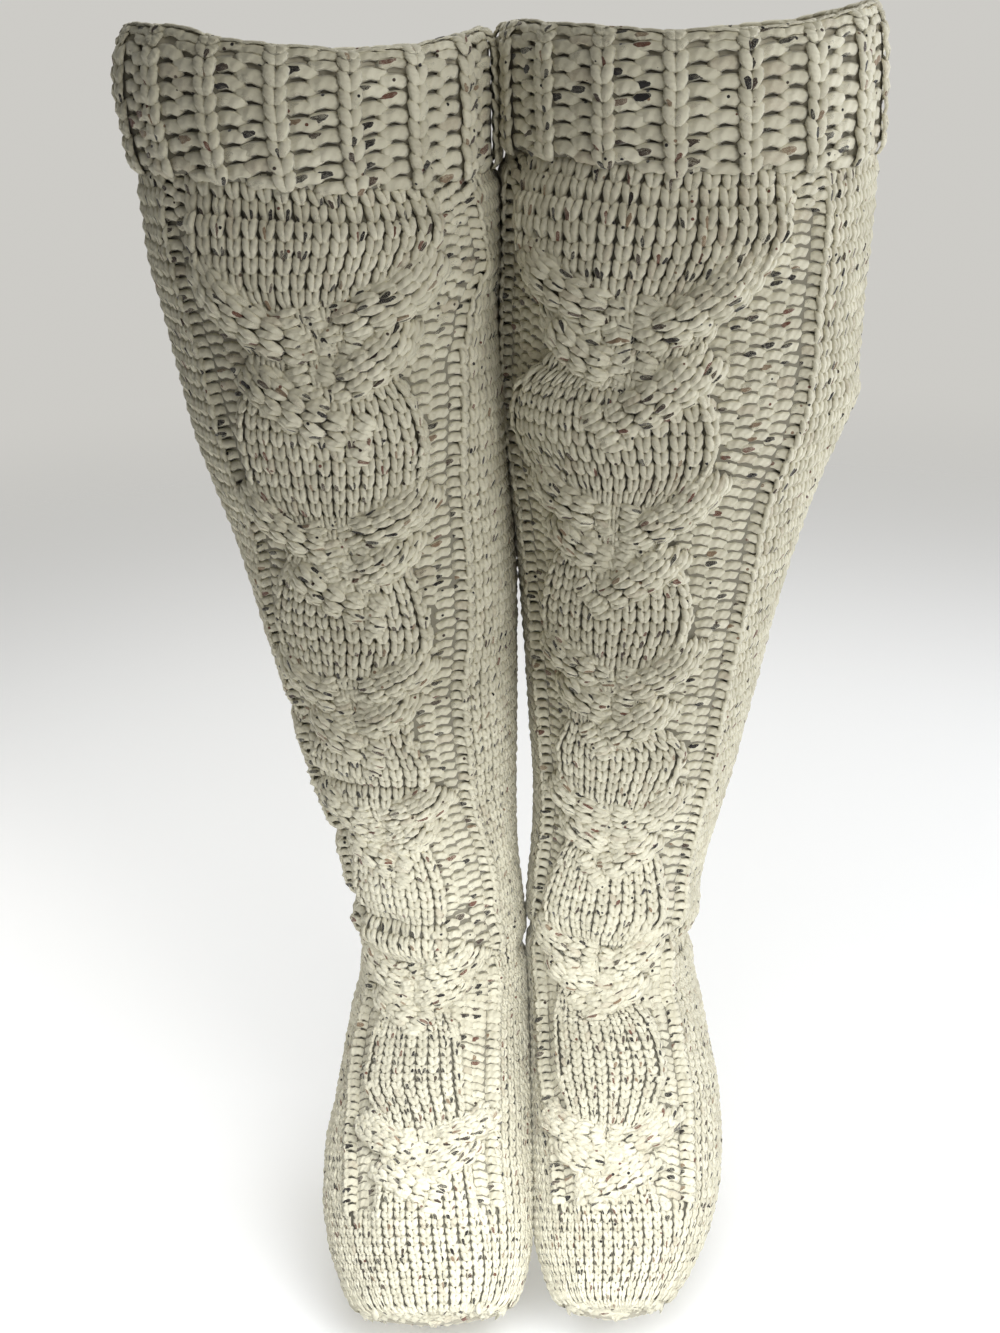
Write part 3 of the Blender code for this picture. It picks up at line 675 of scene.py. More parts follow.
def knit_lobe(side):
    """One arm of the V, fat enough to close the column and blunt at both ends."""
    arm = ((0.04, -0.76, -0.30), (0.09, -0.50, 0.0), (0.20, 0.02, 0.18), (0.28, 0.46, 0.0),
           (0.30, 0.72, -0.28))
    points = [(side * x, y, z) for x, y, z in arm]
    return lobe(points, ((0.19, 0.32), (0.27, 0.40), (0.22, 0.32)), 0 if side < 0 else 1)


def purl_lobe():
    """A purl bump: a fat pill across the column, arched a little."""
    points = ((-0.76, -0.16, -0.26), (-0.45, -0.07, -0.01), (0.0, 0.06, 0.12), (0.45, -0.07, -0.01),
              (0.76, -0.16, -0.26))
    return lobe(points, ((0.42, 0.34), (0.37, 0.38), (0.42, 0.34)))


knit_stitch = stitch_mesh("knit_stitch", [knit_lobe(-1.0), knit_lobe(1.0)])
purl_stitch = stitch_mesh("purl_stitch", [purl_lobe()])
for thing in (knit_stitch, purl_stitch):
    count = sum(len(p.vertices) - 2 for p in thing.data.polygons)
    print(thing.name, count, "triangles")

# %% [markdown]
# ## Planting stitches with Geometry Nodes
# The points carry their own directions and sizes as attributes. The tree turns a stitch to each
# point, jitters it a little with a fixed seed, makes the instances real and sets their material. A
# loop in Python could copy the meshes one by one, but the tree does thousands in a moment.

# %% The planting tree
def planting_tree():
    """A tree that plants one stitch object on every point of a mesh."""
    tree = bpy.data.node_groups.new("plant_stitches", "GeometryNodeTree")
    face = tree.interface
    for name, kind in (("Geometry", "Geometry"), ("Stitch", "Object"), ("Material", "Material"),
                       ("Jitter", "Float"), ("Seed", "Int")):
        face.new_socket(name, in_out="INPUT", socket_type="NodeSocket" + kind)
    face.new_socket("Geometry", in_out="OUTPUT", socket_type="NodeSocketGeometry")
    nodes = tree.nodes
    given = nodes.new("NodeGroupInput")
    result = nodes.new("NodeGroupOutput")

    def attribute(name):
        node = nodes.new("GeometryNodeInputNamedAttribute")
        node.data_type = "FLOAT_VECTOR"
        node.inputs["Name"].default_value = name
        return node

    stitch = nodes.new("GeometryNodeObjectInfo")
    link(tree, given, "Stitch", stitch, "Object")
    turned = nodes.new("FunctionNodeAxesToRotation")
    link(tree, attribute("outward"), "Attribute", turned, "Primary Axis")
    link(tree, attribute("across"), "Attribute", turned, "Secondary Axis")
    wobble = nodes.new("FunctionNodeRandomValue")
    wobble.data_type = "FLOAT_VECTOR"
    wobble.inputs["Min"].default_value = (-1.0, -1.0, -1.0)
    wobble.inputs["Max"].default_value = (1.0, 1.0, 1.0)
    link(tree, given, "Seed", wobble, "Seed")
    scaled = nodes.new("ShaderNodeVectorMath")
    scaled.operation = "SCALE"
    link(tree, wobble, "Value", scaled, 0)
    link(tree, given, "Jitter", scaled, "Scale")
    euler = nodes.new("FunctionNodeEulerToRotation")
    link(tree, scaled, 0, euler, "Euler")
    both = nodes.new("FunctionNodeRotateRotation")
    both.rotation_space = "LOCAL"
    link(tree, turned, "Rotation", both, "Rotation")
    link(tree, euler, "Rotation", both, "Rotate By")
    planted = nodes.new("GeometryNodeInstanceOnPoints")
    link(tree, given, "Geometry", planted, "Points")
    link(tree, stitch, "Geometry", planted, "Instance")
    link(tree, both, "Rotation", planted, "Rotation")
    link(tree, attribute("size"), "Attribute", planted, "Scale")
    real = nodes.new("GeometryNodeRealizeInstances")
    link(tree, planted, "Instances", real, "Geometry")
    painted = nodes.new("GeometryNodeSetMaterial")
    link(tree, real, "Geometry", painted, "Geometry")
    link(tree, given, "Material", painted, "Material")
    link(tree, painted, "Geometry", result, "Geometry")
    return tree


TREE = planting_tree()
SOCKETS = {item.name: item.identifier for item in TREE.interface.items_tree if item.in_out == "INPUT"}
print("the tree's inputs:", list(SOCKETS))

# %% Planting a panel
# Each stitch turns by up to JITTER radians and shifts by up to SHIFT millimetres.
JITTER = 0.08
SHIFT = 0.25
SIZES = (0.95, 1.06)
TONES = (0.25, 0.95)


def plant(name, stitch, yarn, fields, seed):
    """Plants a stitch on every point of the fields, and returns one plain mesh object."""
    random = np.random.default_rng(seed)
    spots = np.concatenate([f["spot"] for f in fields])
    spots = spots + random.uniform(-SHIFT, SHIFT, spots.shape) * MM
    mesh = bpy.data.meshes.new(name + "_points")
    mesh.from_pydata(spots.tolist(), [], [])
    for key in ("outward", "across", "size"):
        values = np.concatenate([f[key] for f in fields])
        if key == "size":
            values = values * random.uniform(*SIZES, values.shape)
        layer = mesh.attributes.new(key, "FLOAT_VECTOR", "POINT")
        layer.data.foreach_set("vector", values.astype(np.float32).ravel())
    tone = mesh.attributes.new("tone", "FLOAT", "POINT")
    tone.data.foreach_set("value", random.uniform(*TONES, len(spots)).astype(np.float32))
    seat = add_object(name + "_points", mesh)
    planter = seat.modifiers.new("plant", "NODES")
    planter.node_group = TREE
    planter[SOCKETS["Stitch"]] = stitch
    planter[SOCKETS["Material"]] = yarn
    planter[SOCKETS["Jitter"]] = JITTER
    planter[SOCKETS["Seed"]] = seed
    graph = bpy.context.evaluated_depsgraph_get()
    made = bpy.data.meshes.new_from_object(seat.evaluated_get(graph), depsgraph=graph)
    bpy.data.objects.remove(seat)
    made.name = name
    for key in ("outward", "across", "size"):
        if key in made.attributes:
            made.attributes.remove(made.attributes[key])
    triangles = sum(len(p.vertices) - 2 for p in made.polygons)
    print(f"{name}: {len(spots)} stitches, {triangles} triangles")
    return add_object(name, made)


print("a stitch's size varies from", SIZES[0], "to", SIZES[1])

# %% [markdown]
# ## Laying out columns and rows
# A field is a set of stitches with a place, two directions and a size. Rows run round the leg at
# the same levels for every column, closer together towards the ankle. Stitches could be scattered on
# the faces of a mesh, but knitting is a grid, so each one is placed by its row and column. The
# surface's own slope turns it, so the stitches lean round the padded ovals and into the folds.

# %% Rows
ROW_HEIGHT = ((0, 8.0), (120, 7.8), (200, 7.4), (300, 6.9), (400, 6.3), (500, 5.8), (731, 5.6))
PURL_HEIGHT = ((0, 5.9), (200, 5.7), (400, 5.4), (731, 5.2))
PURL_WIDTH = ((0, 10.0), (200, 10.0), (300, 9.4), (400, 8.4), (500, 7.6), (731, 7.0))
FIRST_ROW = 0.056
LAST_ROW = 0.7305
END = 0.731


def per_table(table, down):
    """A table's value at a distance down the stocking, in metres."""
    rows = np.array(table, float)
    return np.interp(np.asarray(down) / MM, rows[:, 0], rows[:, 1]) * MM


def rows_between(first, last, heights=ROW_HEIGHT, shift=0.0):
    """Levels of the rows between two distances down the stocking, all on one ladder."""
    levels = [FIRST_ROW + shift * heights[0][1] * MM]
    while levels[-1] < LAST_ROW:
        levels.append(levels[-1] + float(per_table(heights, levels[-1])))
    levels = np.array(levels)
    return levels[(levels >= first) & (levels < last)]


print("rows from the hem to the toe:", len(rows_between(CUFF_HEM, LAST_ROW)))

# %% A field of stitches
LAY = -0.3 * MM
SIDE_STEP = 0.9


def unit(v):
    """Vectors of the same directions, one unit long."""
    return v / np.maximum(np.linalg.norm(v, axis=-1, keepdims=True), 1e-9)


def field(side, degrees, down, wide, tall, lay=LAY, deep=0.60, step=(0.0, 1.0)):
    """Stitches on the cloth. step is the column's direction, in degrees and metres down."""

    def at(turn, lower):
        turn, lower = degrees + turn, down + lower
        return place(side, turn, lower, relief(side, turn, lower) + lay)

    spot = at(0.0, 0.0)
    reach = 0.3 * tall
    up = unit(at(-step[0] * reach, -reach) - at(step[0] * reach, reach))
    beside = unit(at(SIDE_STEP, 0.0) - at(-SIDE_STEP, 0.0))
    outward = unit(np.cross(-up, beside))
    across = unit(np.cross(up, outward))
    lean = np.clip(np.abs(np.sum(across * beside, axis=-1)), 0.5, 1.0)
    size = np.stack([wide * lean, tall, deep * 0.5 * (wide + tall)], axis=-1)
    return {"spot": spot, "outward": outward, "across": across, "size": size}


def spacing(side, degrees, down):
    """How long one degree round the leg is at each stitch, and how far the next row is."""
    spots = place(side, degrees, down, relief(side, degrees, down))
    beside = place(side, degrees + 1.0, down, relief(side, degrees, down))
    wide = np.linalg.norm(beside - spots, axis=-1)
    tall = np.linalg.norm(np.diff(spots, axis=0), axis=-1)
    tall = np.concatenate([tall, tall[-1:]], axis=0)
    return wide, tall


two_rows = spacing("right", np.zeros((2, 1)), np.array([[KNEE], [KNEE + 8 * MM]]))
print("one degree and one row at the knee, in metres:", [round(float(v[0, 0]), 4) for v in two_rows])

# %% A panel of columns
COLUMN_FADE = 16 * MM
OVERLAP = 1.04
THINNEST = 0.35


def columns(side, low, high, count, first, last, turn=0.0, fades=(), covered=False, narrowest=2.0 * MM):
    """Knit columns between two of the pattern's lines. Some can fade out or lie under strands.

    turn is added to the high line, in degrees. fades has columns and where each ends.
    """
    levels = rows_between(first, last)
    weights = np.ones((len(levels), count))
    for index, where in fades:
        weights[:, index] = 1.0 - smooth((levels - where * MM) / COLUMN_FADE)
    ends = np.cumsum(weights, axis=1)
    middle = (ends - 0.5 * weights) / ends[:, -1:]
    a = read(side, low, levels)[:, None]
    b = read(side, high, levels)[:, None] + turn
    degrees = a + (b - a) * middle
    down = np.repeat(levels[:, None], count, axis=1)
    wide, tall = spacing(side, degrees, down)
    wide = wide * (b - a) / ends[:, -1:] * np.clip(weights, 0.3, 1.0)
    use = (weights > THINNEST) & (wide > narrowest)
    if covered:
        use &= ~hidden(side, degrees, down)
    slope = np.gradient(degrees, axis=0) / np.gradient(down, axis=0)
    wide, tall = wide[use] * OVERLAP, tall[use] * OVERLAP
    return field(side, degrees[use], down[use], wide, tall, step=(slope[use], 1.0))


print("stitches overlap by a factor of", OVERLAP)

# %% [markdown]
# ## The cloth shells
# Under the stitches lies a closed shell of cloth. Its outer face follows the relief a little below
# the stitches. Its inner face is plain but for the folds, where it steps back as far as the outer
# face does, or it would show through. A Solidify modifier could give the wall its thickness, but the
# relief would then show inside as well, so the two faces are made apart and joined at the rim. The
# shell stands for the stocking's CAD node.

# %% Shell helpers
WALL = 4.5 * MM
CUFF_JOIN = 7.0 * MM
SUNK = 2.4 * MM
PANEL_STEPS = (6, 36, 6, 48)
# Tones of the cloth: dark painted shade where it shows in the gaps between stitches, less of it at the toe
# and the cuff's rim, light inside.
UNDER, TOE_TONE, EDGE, INSIDE = -0.6, 0.5, 0.8, 1.4


def grid_faces(rings, count, turned=False):
    """Four-sided faces between rings of points. rings are the numbers of their first points."""
    faces = []
    for a, b in zip(rings, rings[1:]):
        for i in range(count):
            j = (i + 1) % count
            quad = (a + i, b + i, b + j, a + j)
            faces.append(quad[::-1] if turned else quad)
    return faces


def shell_columns(side, down, every=1):
    """Degrees round the leg, following the pattern's lines. down is a column of levels."""
    lines = [read(side, n, down)[:, None] for n in ("strip_from", "cable_from", "cable_to", "strip_to")]
    lines.append(lines[0] + 360.0)
    parts = []
    for (a, b), steps in zip(zip(lines, lines[1:]), PANEL_STEPS):
        parts.append(a + (b - a) * np.arange(steps) / steps)
    return np.concatenate(parts, axis=1)[:, ::every]


def add_cloth(name, verts, faces, tones):
    """A cloth mesh in the plain yarn, with a tone at each point that sets its painted shade."""
    mesh = bpy.data.meshes.new(name)
    mesh.from_pydata([tuple(v) for v in verts], [], faces)
    mesh.materials.append(shell_yarn)
    mesh.polygons.foreach_set("use_smooth", [True] * len(mesh.polygons))
    tone = mesh.attributes.new("tone", "FLOAT", "POINT")
    tone.data.foreach_set("value", np.asarray(tones, np.float32))
    return add_object(name, mesh)


print("points round a shell:", sum(PANEL_STEPS))

# %% Cloth shells
OUTER_STEP = 4.4
INNER_STEP = 7.0


def make_shell(side):
    """The cloth of one stocking, from under the cuff to the toe, with its two faces joined."""
    levels = np.concatenate([np.arange(7.0, 722.0, OUTER_STEP), [723.0, 727.0, 731.0]]) * MM
    degrees = shell_columns(side, levels)
    down = np.repeat(levels[:, None], degrees.shape[1], axis=1)
    strip = np.minimum(degrees - degrees[:, :1], read(side, "strip_to", down) - degrees)
    sunk = np.where(strip > 1.0, SUNK - 0.6 * MM, SUNK)
    under = np.where(down < CUFF_HEM + 2 * MM, 0.0, -sunk)
    outer = place(side, degrees, down, relief(side, degrees, down, strands=True) + under)
    inner_levels = np.concatenate([np.arange(7.0, 700.0, INNER_STEP), [705.0, 715.0]]) * MM
    inner_degrees = shell_columns(side, inner_levels, every=2)
    inner_down = np.repeat(inner_levels[:, None], inner_degrees.shape[1], axis=1)
    dents = np.minimum(folds_height(side, inner_degrees, inner_down), 0.0)
    inner = place(side, inner_degrees, inner_down, np.where(inner_down > 0.08, dents, 0.0) - WALL)
    count, half = degrees.shape[1], inner_degrees.shape[1]
    verts = list(outer.reshape(-1, 3)) + [np.array(TOE_TIP[side]) * MM]
    toe = len(verts) - 1
    faces = grid_faces([count * k for k in range(len(levels))], count)
    last = count * (len(levels) - 1)
    faces += [(last + i, toe, last + (i + 1) % count) for i in range(count)]
    first_inner = len(verts)
    verts += list(inner.reshape(-1, 3))
    verts.append(place(side, 0.0, 0.718, -read(side, "front", 0.718) * MM))
    end = len(verts) - 1
    faces += grid_faces([first_inner + half * k for k in range(len(inner_levels))], half, turned=True)
    last = first_inner + half * (len(inner_levels) - 1)
    faces += [(last + i, last + (i + 1) % half, end) for i in range(half)]
    for i in range(half):
        j = (i + 1) % half
        a, b, c = 2 * i, 2 * i + 1, (2 * i + 2) % count
        faces += [(first_inner + i, a, b), (first_inner + i, b, c), (first_inner + i, c, first_inner + j)]
    # The outer face is darkened as painted shade for the gaps, less at the toe; the inner face is light.
    tones = np.where(np.arange(len(verts)) < first_inner, UNDER, INSIDE)
    tones[count * (len(levels) - 2):first_inner] = TOE_TONE
    return add_cloth(side + "_cloth", verts, faces, tones)


shells = {side: make_shell(side) for side in SIDES}
print({name: len(o.data.polygons) for name, o in shells.items()}, "faces in the shells")

# %% [markdown]
# ## The plain back
# Knit columns run round the back of the leg from one purl strip to the other. Some end above the
# ankle, where the leg narrows, as a knitter decreases there. The first and last column stand up as
# the ribs beside the strips. One mesh for the whole back would pass 200,000 triangles, so the thigh,
# the calf and the sole are planted apart.

# %% Back columns
BACK_COLUMNS = 48
BACK_FADES = ((5, 280), (42, 290), (11, 318), (36, 326), (17, 352), (30, 360))
CALF_FROM = 0.290
SOLE_FROM = 0.500
PANELS = (("thigh", FIRST_ROW, CALF_FROM), ("calf", CALF_FROM, SOLE_FROM), ("sole", SOLE_FROM, END))

pieces = {side: [] for side in SIDES}
for seed, side in enumerate(SIDES, 11):
    for name, first, last in PANELS:
        got = columns(side, "strip_to", "strip_from", BACK_COLUMNS, first, last,
                      turn=360.0, fades=BACK_FADES)
        pieces[side].append(plant(f"{side}_{name}_knit", knit_stitch, leg_yarn, [got], seed * 7))

# %% [markdown]
# ## The purl strips
# Beside the cable the wrong side of the knit shows: rows of small bumps, laid like bricks. Columns
# spread between the two edges would change their width with the cable, and real ones don't. So they
# are counted inwards from the rib, and more of them show where the cable is narrow.

# %% Purl strips
STRIP_FIRST = 0.058
STRIP_LAST = 0.662
MOST_PURL_COLUMNS = 8
UNDER_RIB = 3.0 * MM
UNDER_CABLE = 3.6 * MM


def strip_field(side, edge, cable, direction):
    """Purl bumps like bricks: every second column is half a row lower."""
    got = []
    for k in range(MOST_PURL_COLUMNS):
        levels = rows_between(STRIP_FIRST, STRIP_LAST, PURL_HEIGHT, 0.5 * (k % 2))
        width = per_table(PURL_WIDTH, levels)
        metres = per_degree(side, levels)
        degrees = read(side, edge, levels) + direction * ((k + 0.5) * width - UNDER_RIB) / metres
        room = direction * (read(side, cable, levels) - degrees) * metres
        use = (room > -UNDER_CABLE) & ~hidden(side, degrees, levels, limit=4.6 * MM)
        if use.any():
            widen, lay = (1.06, LAY + 0.1 * MM) if k == 0 else (1.0, LAY)
            wide = width[use] * widen
            tall = per_table(PURL_HEIGHT, levels)[use] * 1.16
            got.append(field(side, degrees[use], levels[use], wide, tall, lay, deep=0.42))
    return got


for seed, side in enumerate(SIDES, 31):
    got = strip_field(side, "strip_from", "cable_from", 1.0)
    got += strip_field(side, "strip_to", "cable_to", -1.0)
    pieces[side].append(plant(side + "_purl_strips", purl_stitch, leg_yarn, got, seed))

# %% [markdown]
# ## The ovals
# Each oval has its own number of knit columns between the cable's two edges, because a cable keeps
# its stitches while it bows out and draws in. Stitches that a strand covers are left out. Past the
# last crossing the columns fan out over the toe.

# %% Ovals
TOE_COLUMNS = 9
EDGE_COLUMNS = 2


def oval_fields(side):
    """The knit columns between the crossings, and those that run on over the toe."""
    got = []
    top = FIRST_ROW
    cable = ("cable_from", "cable_to")
    for where, _, _, count in CROSSINGS[side]:
        bottom = where * MM
        got.append(columns(side, *cable, count, top, bottom, covered=True, narrowest=3.2 * MM))
        top = bottom
    got.append(columns(side, *cable, TOE_COLUMNS, top, END, covered=True))
    for low, high in (("strip_from", "cable_from"), ("cable_to", "strip_to")):
        got.append(columns(side, low, high, EDGE_COLUMNS, STRIP_LAST, END, covered=True))
    return got


print("columns in the right cable's ovals:", [crossing[3] for crossing in CROSSINGS["right"]])

# %% [markdown]
# ## The toe ends
# The last stitches of a toe are drawn together. Columns would meet in one crowded point there, so
# rings of purl bumps that shrink towards the tip close it instead.

# %% Toe ends
TOE_RINGS = (0.04, 0.24, 0.44, 0.64, 0.82, 0.96)


def toe_field(side, down=0.7265, width=6.6 * MM):
    """Purl bumps round the closed toe, in rings that shrink towards its tip."""
    tip = np.array(TOE_TIP[side]) * MM
    turns = np.arange(0.0, 361.0, 2.0)
    ring = place(side, turns, np.full(len(turns), down))
    ahead = unit(tip - ring.mean(axis=0))
    got = []
    for share in TOE_RINGS:
        points = ring + (tip - ring) * share
        at = np.concatenate([[0.0], np.cumsum(np.linalg.norm(np.diff(points, axis=0), axis=1))])
        count = max(3, int(round(at[-1] / width)))
        mid = (np.arange(count) + 0.5 * (len(got) % 2)) * at[-1] / count
        degrees = np.interp(mid, at, turns)
        level = np.full(count, down)
        around = place(side, degrees, level)
        spot = around + (tip - around) * share
        out = unit(place(side, degrees, level, 1 * MM) - around)
        outward = unit(out * (1 - share) + ahead * (0.4 + share))
        later = place(side, degrees + 4.0, level)
        across = unit(later - around)
        across = unit(across - outward * np.sum(across * outward, axis=1, keepdims=True))
        tall = np.clip(np.linalg.norm(tip - around, axis=1) * 0.30, 3.6 * MM, 9.0 * MM)
        size = np.stack([np.full(count, at[-1] / count * 1.12), tall, np.full(count, 2.6 * MM)], axis=-1)
        got.append({"spot": spot - outward * 0.7 * MM, "outward": outward, "across": across, "size": size})
    return got


for seed, side in enumerate(SIDES, 51):
    pieces[side].append(plant(side + "_cable_ovals", knit_stitch, leg_yarn, oval_fields(side), seed))
    pieces[side].append(plant(side + "_toe_end", purl_stitch, leg_yarn, toe_field(side), seed + 3))

# %% [markdown]
# ## The strands
# At a crossing the knitter swaps two groups of columns, so one group passes over the other as a
# strand. A strand could be a thick tube with its own material, but its edge would look like a rope's.
# So it has four knit columns side by side, and the outer two roll down its sides. Their stitches
# follow the bent line, so the strand grows out of the columns above and dives under the next one.

# %% Strands
STRAND_COLUMNS = 4
ROLL_DOWN = math.radians(88.0)
PAST_END = 1.08
DIVES_FROM = 0.74


def strand_field(side, crossing, strand):
    """The stitches of one strand, in columns that share its bent line."""
    half = strand_half(crossing, strand)
    u, v = strand_line(side, crossing, strand, np.linspace(0, 1, 60))
    length = np.hypot(np.diff(u), np.diff(v)).sum()
    tall = 1.20 * float(per_table(ROW_HEIGHT, crossing[0] * MM))
    rows = max(4, int(round(length / tall)))
    tall = length / rows
    t = (np.arange(rows) + 0.5) / rows
    lanes = (np.arange(STRAND_COLUMNS) + 0.5) / STRAND_COLUMNS * 2 - 1
    t, lane = np.meshgrid(t, lanes, indexing="ij")
    t = np.clip(t * PAST_END + 0.12 * tall / length * np.sign(lane), 0, PAST_END)

    def spot(t, lane):
        cu, cv = strand_line(side, crossing, strand, t)
        nu, nv = strand_line(side, crossing, strand, t + 0.01)
        du, dv = nu - cu, nv - cv
        size = np.hypot(du, dv)
        offset = np.sin(lane * ROLL_DOWN) * half
        cu = cu - dv / size * offset
        cv = cv + du / size * offset
        down = crossing[0] * MM + cv
        degrees = crossing[1] + cu / per_degree(side, down)
        folds = folds_height(side, degrees, down)
        cloth = relief(side, degrees, down) - folds
        least = 0.6 * MM + cloth * smooth((t - DIVES_FROM) / 0.24)
        height = np.maximum(strand_rise(crossing, strand, t, offset), least)
        return place(side, degrees, down, height + folds * 0.5)

    here = spot(t, lane)
    ahead = spot(t + 0.02, lane)
    beside = spot(t, lane + 0.05)
    up = unit(here - ahead)
    outward = unit(np.cross(ahead - here, beside - here))
    out_way = here - place(side, 0.0, crossing[0] * MM, -read(side, "front", crossing[0] * MM) * MM)
    wrong = np.sum(outward * out_way, axis=-1) < 0
    outward[wrong] *= -1
    across = unit(np.cross(up, outward))
    wide = np.full(t.shape, 0.90 * half)
    tall = np.full(t.shape, tall * 1.12)
    size = np.stack([wide, tall, 0.55 * 0.5 * (wide + tall)], axis=-1)
    return {"spot": here.reshape(-1, 3), "outward": outward.reshape(-1, 3),
            "across": across.reshape(-1, 3), "size": size.reshape(-1, 3)}


for seed, side in enumerate(SIDES, 71):
    got = [strand_field(side, c, s) for c in CROSSINGS[side] for s in STRANDS]
    pieces[side].append(plant(side + "_cable_strands", knit_stitch, leg_yarn, got, seed))

# %% [markdown]
# ## The cuffs
# The ribbed end is turned down over the leg. Its path goes from the hem up the outside, over the
# fold and a little way down inside. Ridges of knit columns stand between purl grooves. The cuff
# could be part of the stocking's shell, but the CAD model has it as a node of its own, so it is a
# closed shell that lies round the stocking with a small gap.

# %% The cuff's path
SEAM = 0.6 * MM
EDGE_SEAM = 2.4 * MM
CUFF_THICK = 3.5 * MM
CUFF_RIB_RISE = 2.4 * MM
CUFF_RIBS = 17
FIRST_RIDGE = {"right": -5.0, "left": -9.0}
CUFF_ROW = 7.6 * MM
OUTER = CUFF_THICK + SEAM
CUFF_PATH = (
    # down, out, share of the rib's rise
    (CUFF_HEM, OUTER - 1.4 * MM, 0.8),
    (CUFF_HEM - 3 * MM, OUTER, 1.0),
    (46 * MM, OUTER, 1.0),
    (32 * MM, OUTER, 1.0),
    (18 * MM, OUTER, 1.0),
    (6 * MM, OUTER - 0.3 * MM, 0.8),
    (1.5 * MM, OUTER - 2.2 * MM, 0.5),
    (0.0, -0.5 * MM, 0.2),
    (1.5 * MM, -WALL + 0.6 * MM, 0.0),
    (CUFF_JOIN - EDGE_SEAM, -WALL, 0.0),
)
path = np.array(CUFF_PATH)
PATH_AT = np.concatenate([[0], np.cumsum(np.hypot(np.diff(path[:, 0]), np.diff(path[:, 1])))])
# Where along the path the fold begins to bend, nears its top, reaches it and points down inside.
BEND, SHOULDER, TOP, DOWN_INSIDE = PATH_AT[5:9]


def ridge(side, degrees):
    """1 on a knit ridge and 0 in a purl groove."""
    turned = (degrees - FIRST_RIDGE[side]) * CUFF_RIBS / 360.0
    phase = np.abs((turned + 0.5) % 1.0 - 0.5)
    return 1.0 - smooth((phase - 0.11) / 0.14)


def cuff_place(side, degrees, along, out=0.0):
    """Points at angles round the leg and distances along the cuff's path."""
    down, away, rib = [np.interp(along, PATH_AT, path[:, k]) for k in range(3)]
    away = away + rib * ridge(side, degrees) * CUFF_RIB_RISE
    away = np.where(along > TOP, away - out, away + out)
    return place(side, degrees, down, away)


print("the cuff's path is", round(PATH_AT[-1] / MM, 1), "mm long")

# %% Cuff shells
CUFF_POINTS = 12 * CUFF_RIBS
OUTSIDE_RINGS = 12
RIM_RINGS = 5


def make_cuff_shell(side):
    """The cloth of one cuff: up the outside, over the fold, and back down next to the stocking."""
    degrees = FIRST_RIDGE[side] + np.arange(CUFF_POINTS) * 360.0 / CUFF_POINTS
    alongs = np.concatenate([np.linspace(0, BEND, 14), np.linspace(BEND, PATH_AT[-1], 9)[1:]])
    rings = []
    for along in alongs:
        out = -2.0 * MM if along < SHOULDER else -0.6 * MM
        rings.append(cuff_place(side, degrees, np.full(CUFF_POINTS, along), out))
    for down in (CUFF_JOIN - EDGE_SEAM, 18 * MM, 32 * MM, 46 * MM, CUFF_HEM):
        rings.append(place(side, degrees, np.full(CUFF_POINTS, down), SEAM))
    starts = [CUFF_POINTS * k for k in range(len(rings))] + [0]
    inside_rings = len(rings) - OUTSIDE_RINGS - RIM_RINGS
    # Painted shade under the cuff's stitches, less of it over the fold's rim, none inside.
    tones = [UNDER] * OUTSIDE_RINGS + [EDGE] * RIM_RINGS + [INSIDE] * inside_rings
    faces = grid_faces(starts, CUFF_POINTS, turned=True)
    return add_cloth(side + "_cuff_cloth", np.concatenate(rings), faces, np.repeat(tones, CUFF_POINTS))


print("points round a cuff:", CUFF_POINTS)

# %% Cuff stitches
CUFF_COLUMNS = (
    # place in the rib, share of the rib's width, shift of the rows
    (0.0, 0.38, 0.0),
    (0.325, 0.40, 0.35),
    (0.665, 0.40, 0.80),
)
FOLD_ROW = 4.0 * MM
FOLD_TALL = 5.0 * MM


def facing(side, degrees):
    """1 where one cuff faces the other and touches it."""
    turn = np.sin(np.radians(degrees)) * (1.0 if side == "right" else -1.0)
    return np.clip(turn, 0.0, 1.0) ** 8


def cuff_rows(shift):
    """Places of the rows along the cuff's path, closer together over the fold, and their heights."""
    rows = [(0.35 + shift) % 1.0 * CUFF_ROW]
    while rows[-1] < DOWN_INSIDE:
        rows.append(rows[-1] + (CUFF_ROW if rows[-1] < BEND - 3 * MM else FOLD_ROW))
    rows = np.array(rows[:-1])
    return rows, np.where(rows < BEND, CUFF_ROW, FOLD_TALL)


def cuff_fields(side):
    """One fat knit column on each ridge, and two columns of purl bumps in each groove."""
    knit, purl = [], []
    metres = float(per_degree(side, 0.03)) * 360.0 / CUFF_RIBS
    for i in range(CUFF_RIBS):
        for phase, share, shift in CUFF_COLUMNS:
            rows, tall = cuff_rows(shift)
            degrees = np.full(len(rows), FIRST_RIDGE[side] + 360.0 * (i + phase) / CUFF_RIBS)
            out = -0.7 * MM + 1.9 * MM * facing(side, degrees)
            here = cuff_place(side, degrees, rows, out)
            over = cuff_place(side, degrees, rows + 1 * MM, out)
            beside = cuff_place(side, degrees + 0.8, rows, out)
            up = unit(over - here)
            outward = unit(np.cross(here - over, beside - here))
            across = unit(np.cross(up, outward))
            wide = np.full(len(rows), metres * share)
            group, overlap = (knit, 1.10) if phase == 0 else (purl, 1.16)
            size = np.stack([wide, tall * overlap, 1.2 * MM + 0.42 * tall], axis=-1)
            group.append({"spot": here, "outward": outward, "across": across, "size": size})
    return knit, purl


cuffs, cuff_pieces = {}, {}
for seed, side in enumerate(SIDES, 91):
    cuffs[side] = make_cuff_shell(side)
    knit, purl = cuff_fields(side)
    cuff_pieces[side] = [
        plant(side + "_cuff_ridges", knit_stitch, cuff_yarn, knit, seed),
        plant(side + "_cuff_grooves", purl_stitch, cuff_yarn, purl, seed + 4),
    ]
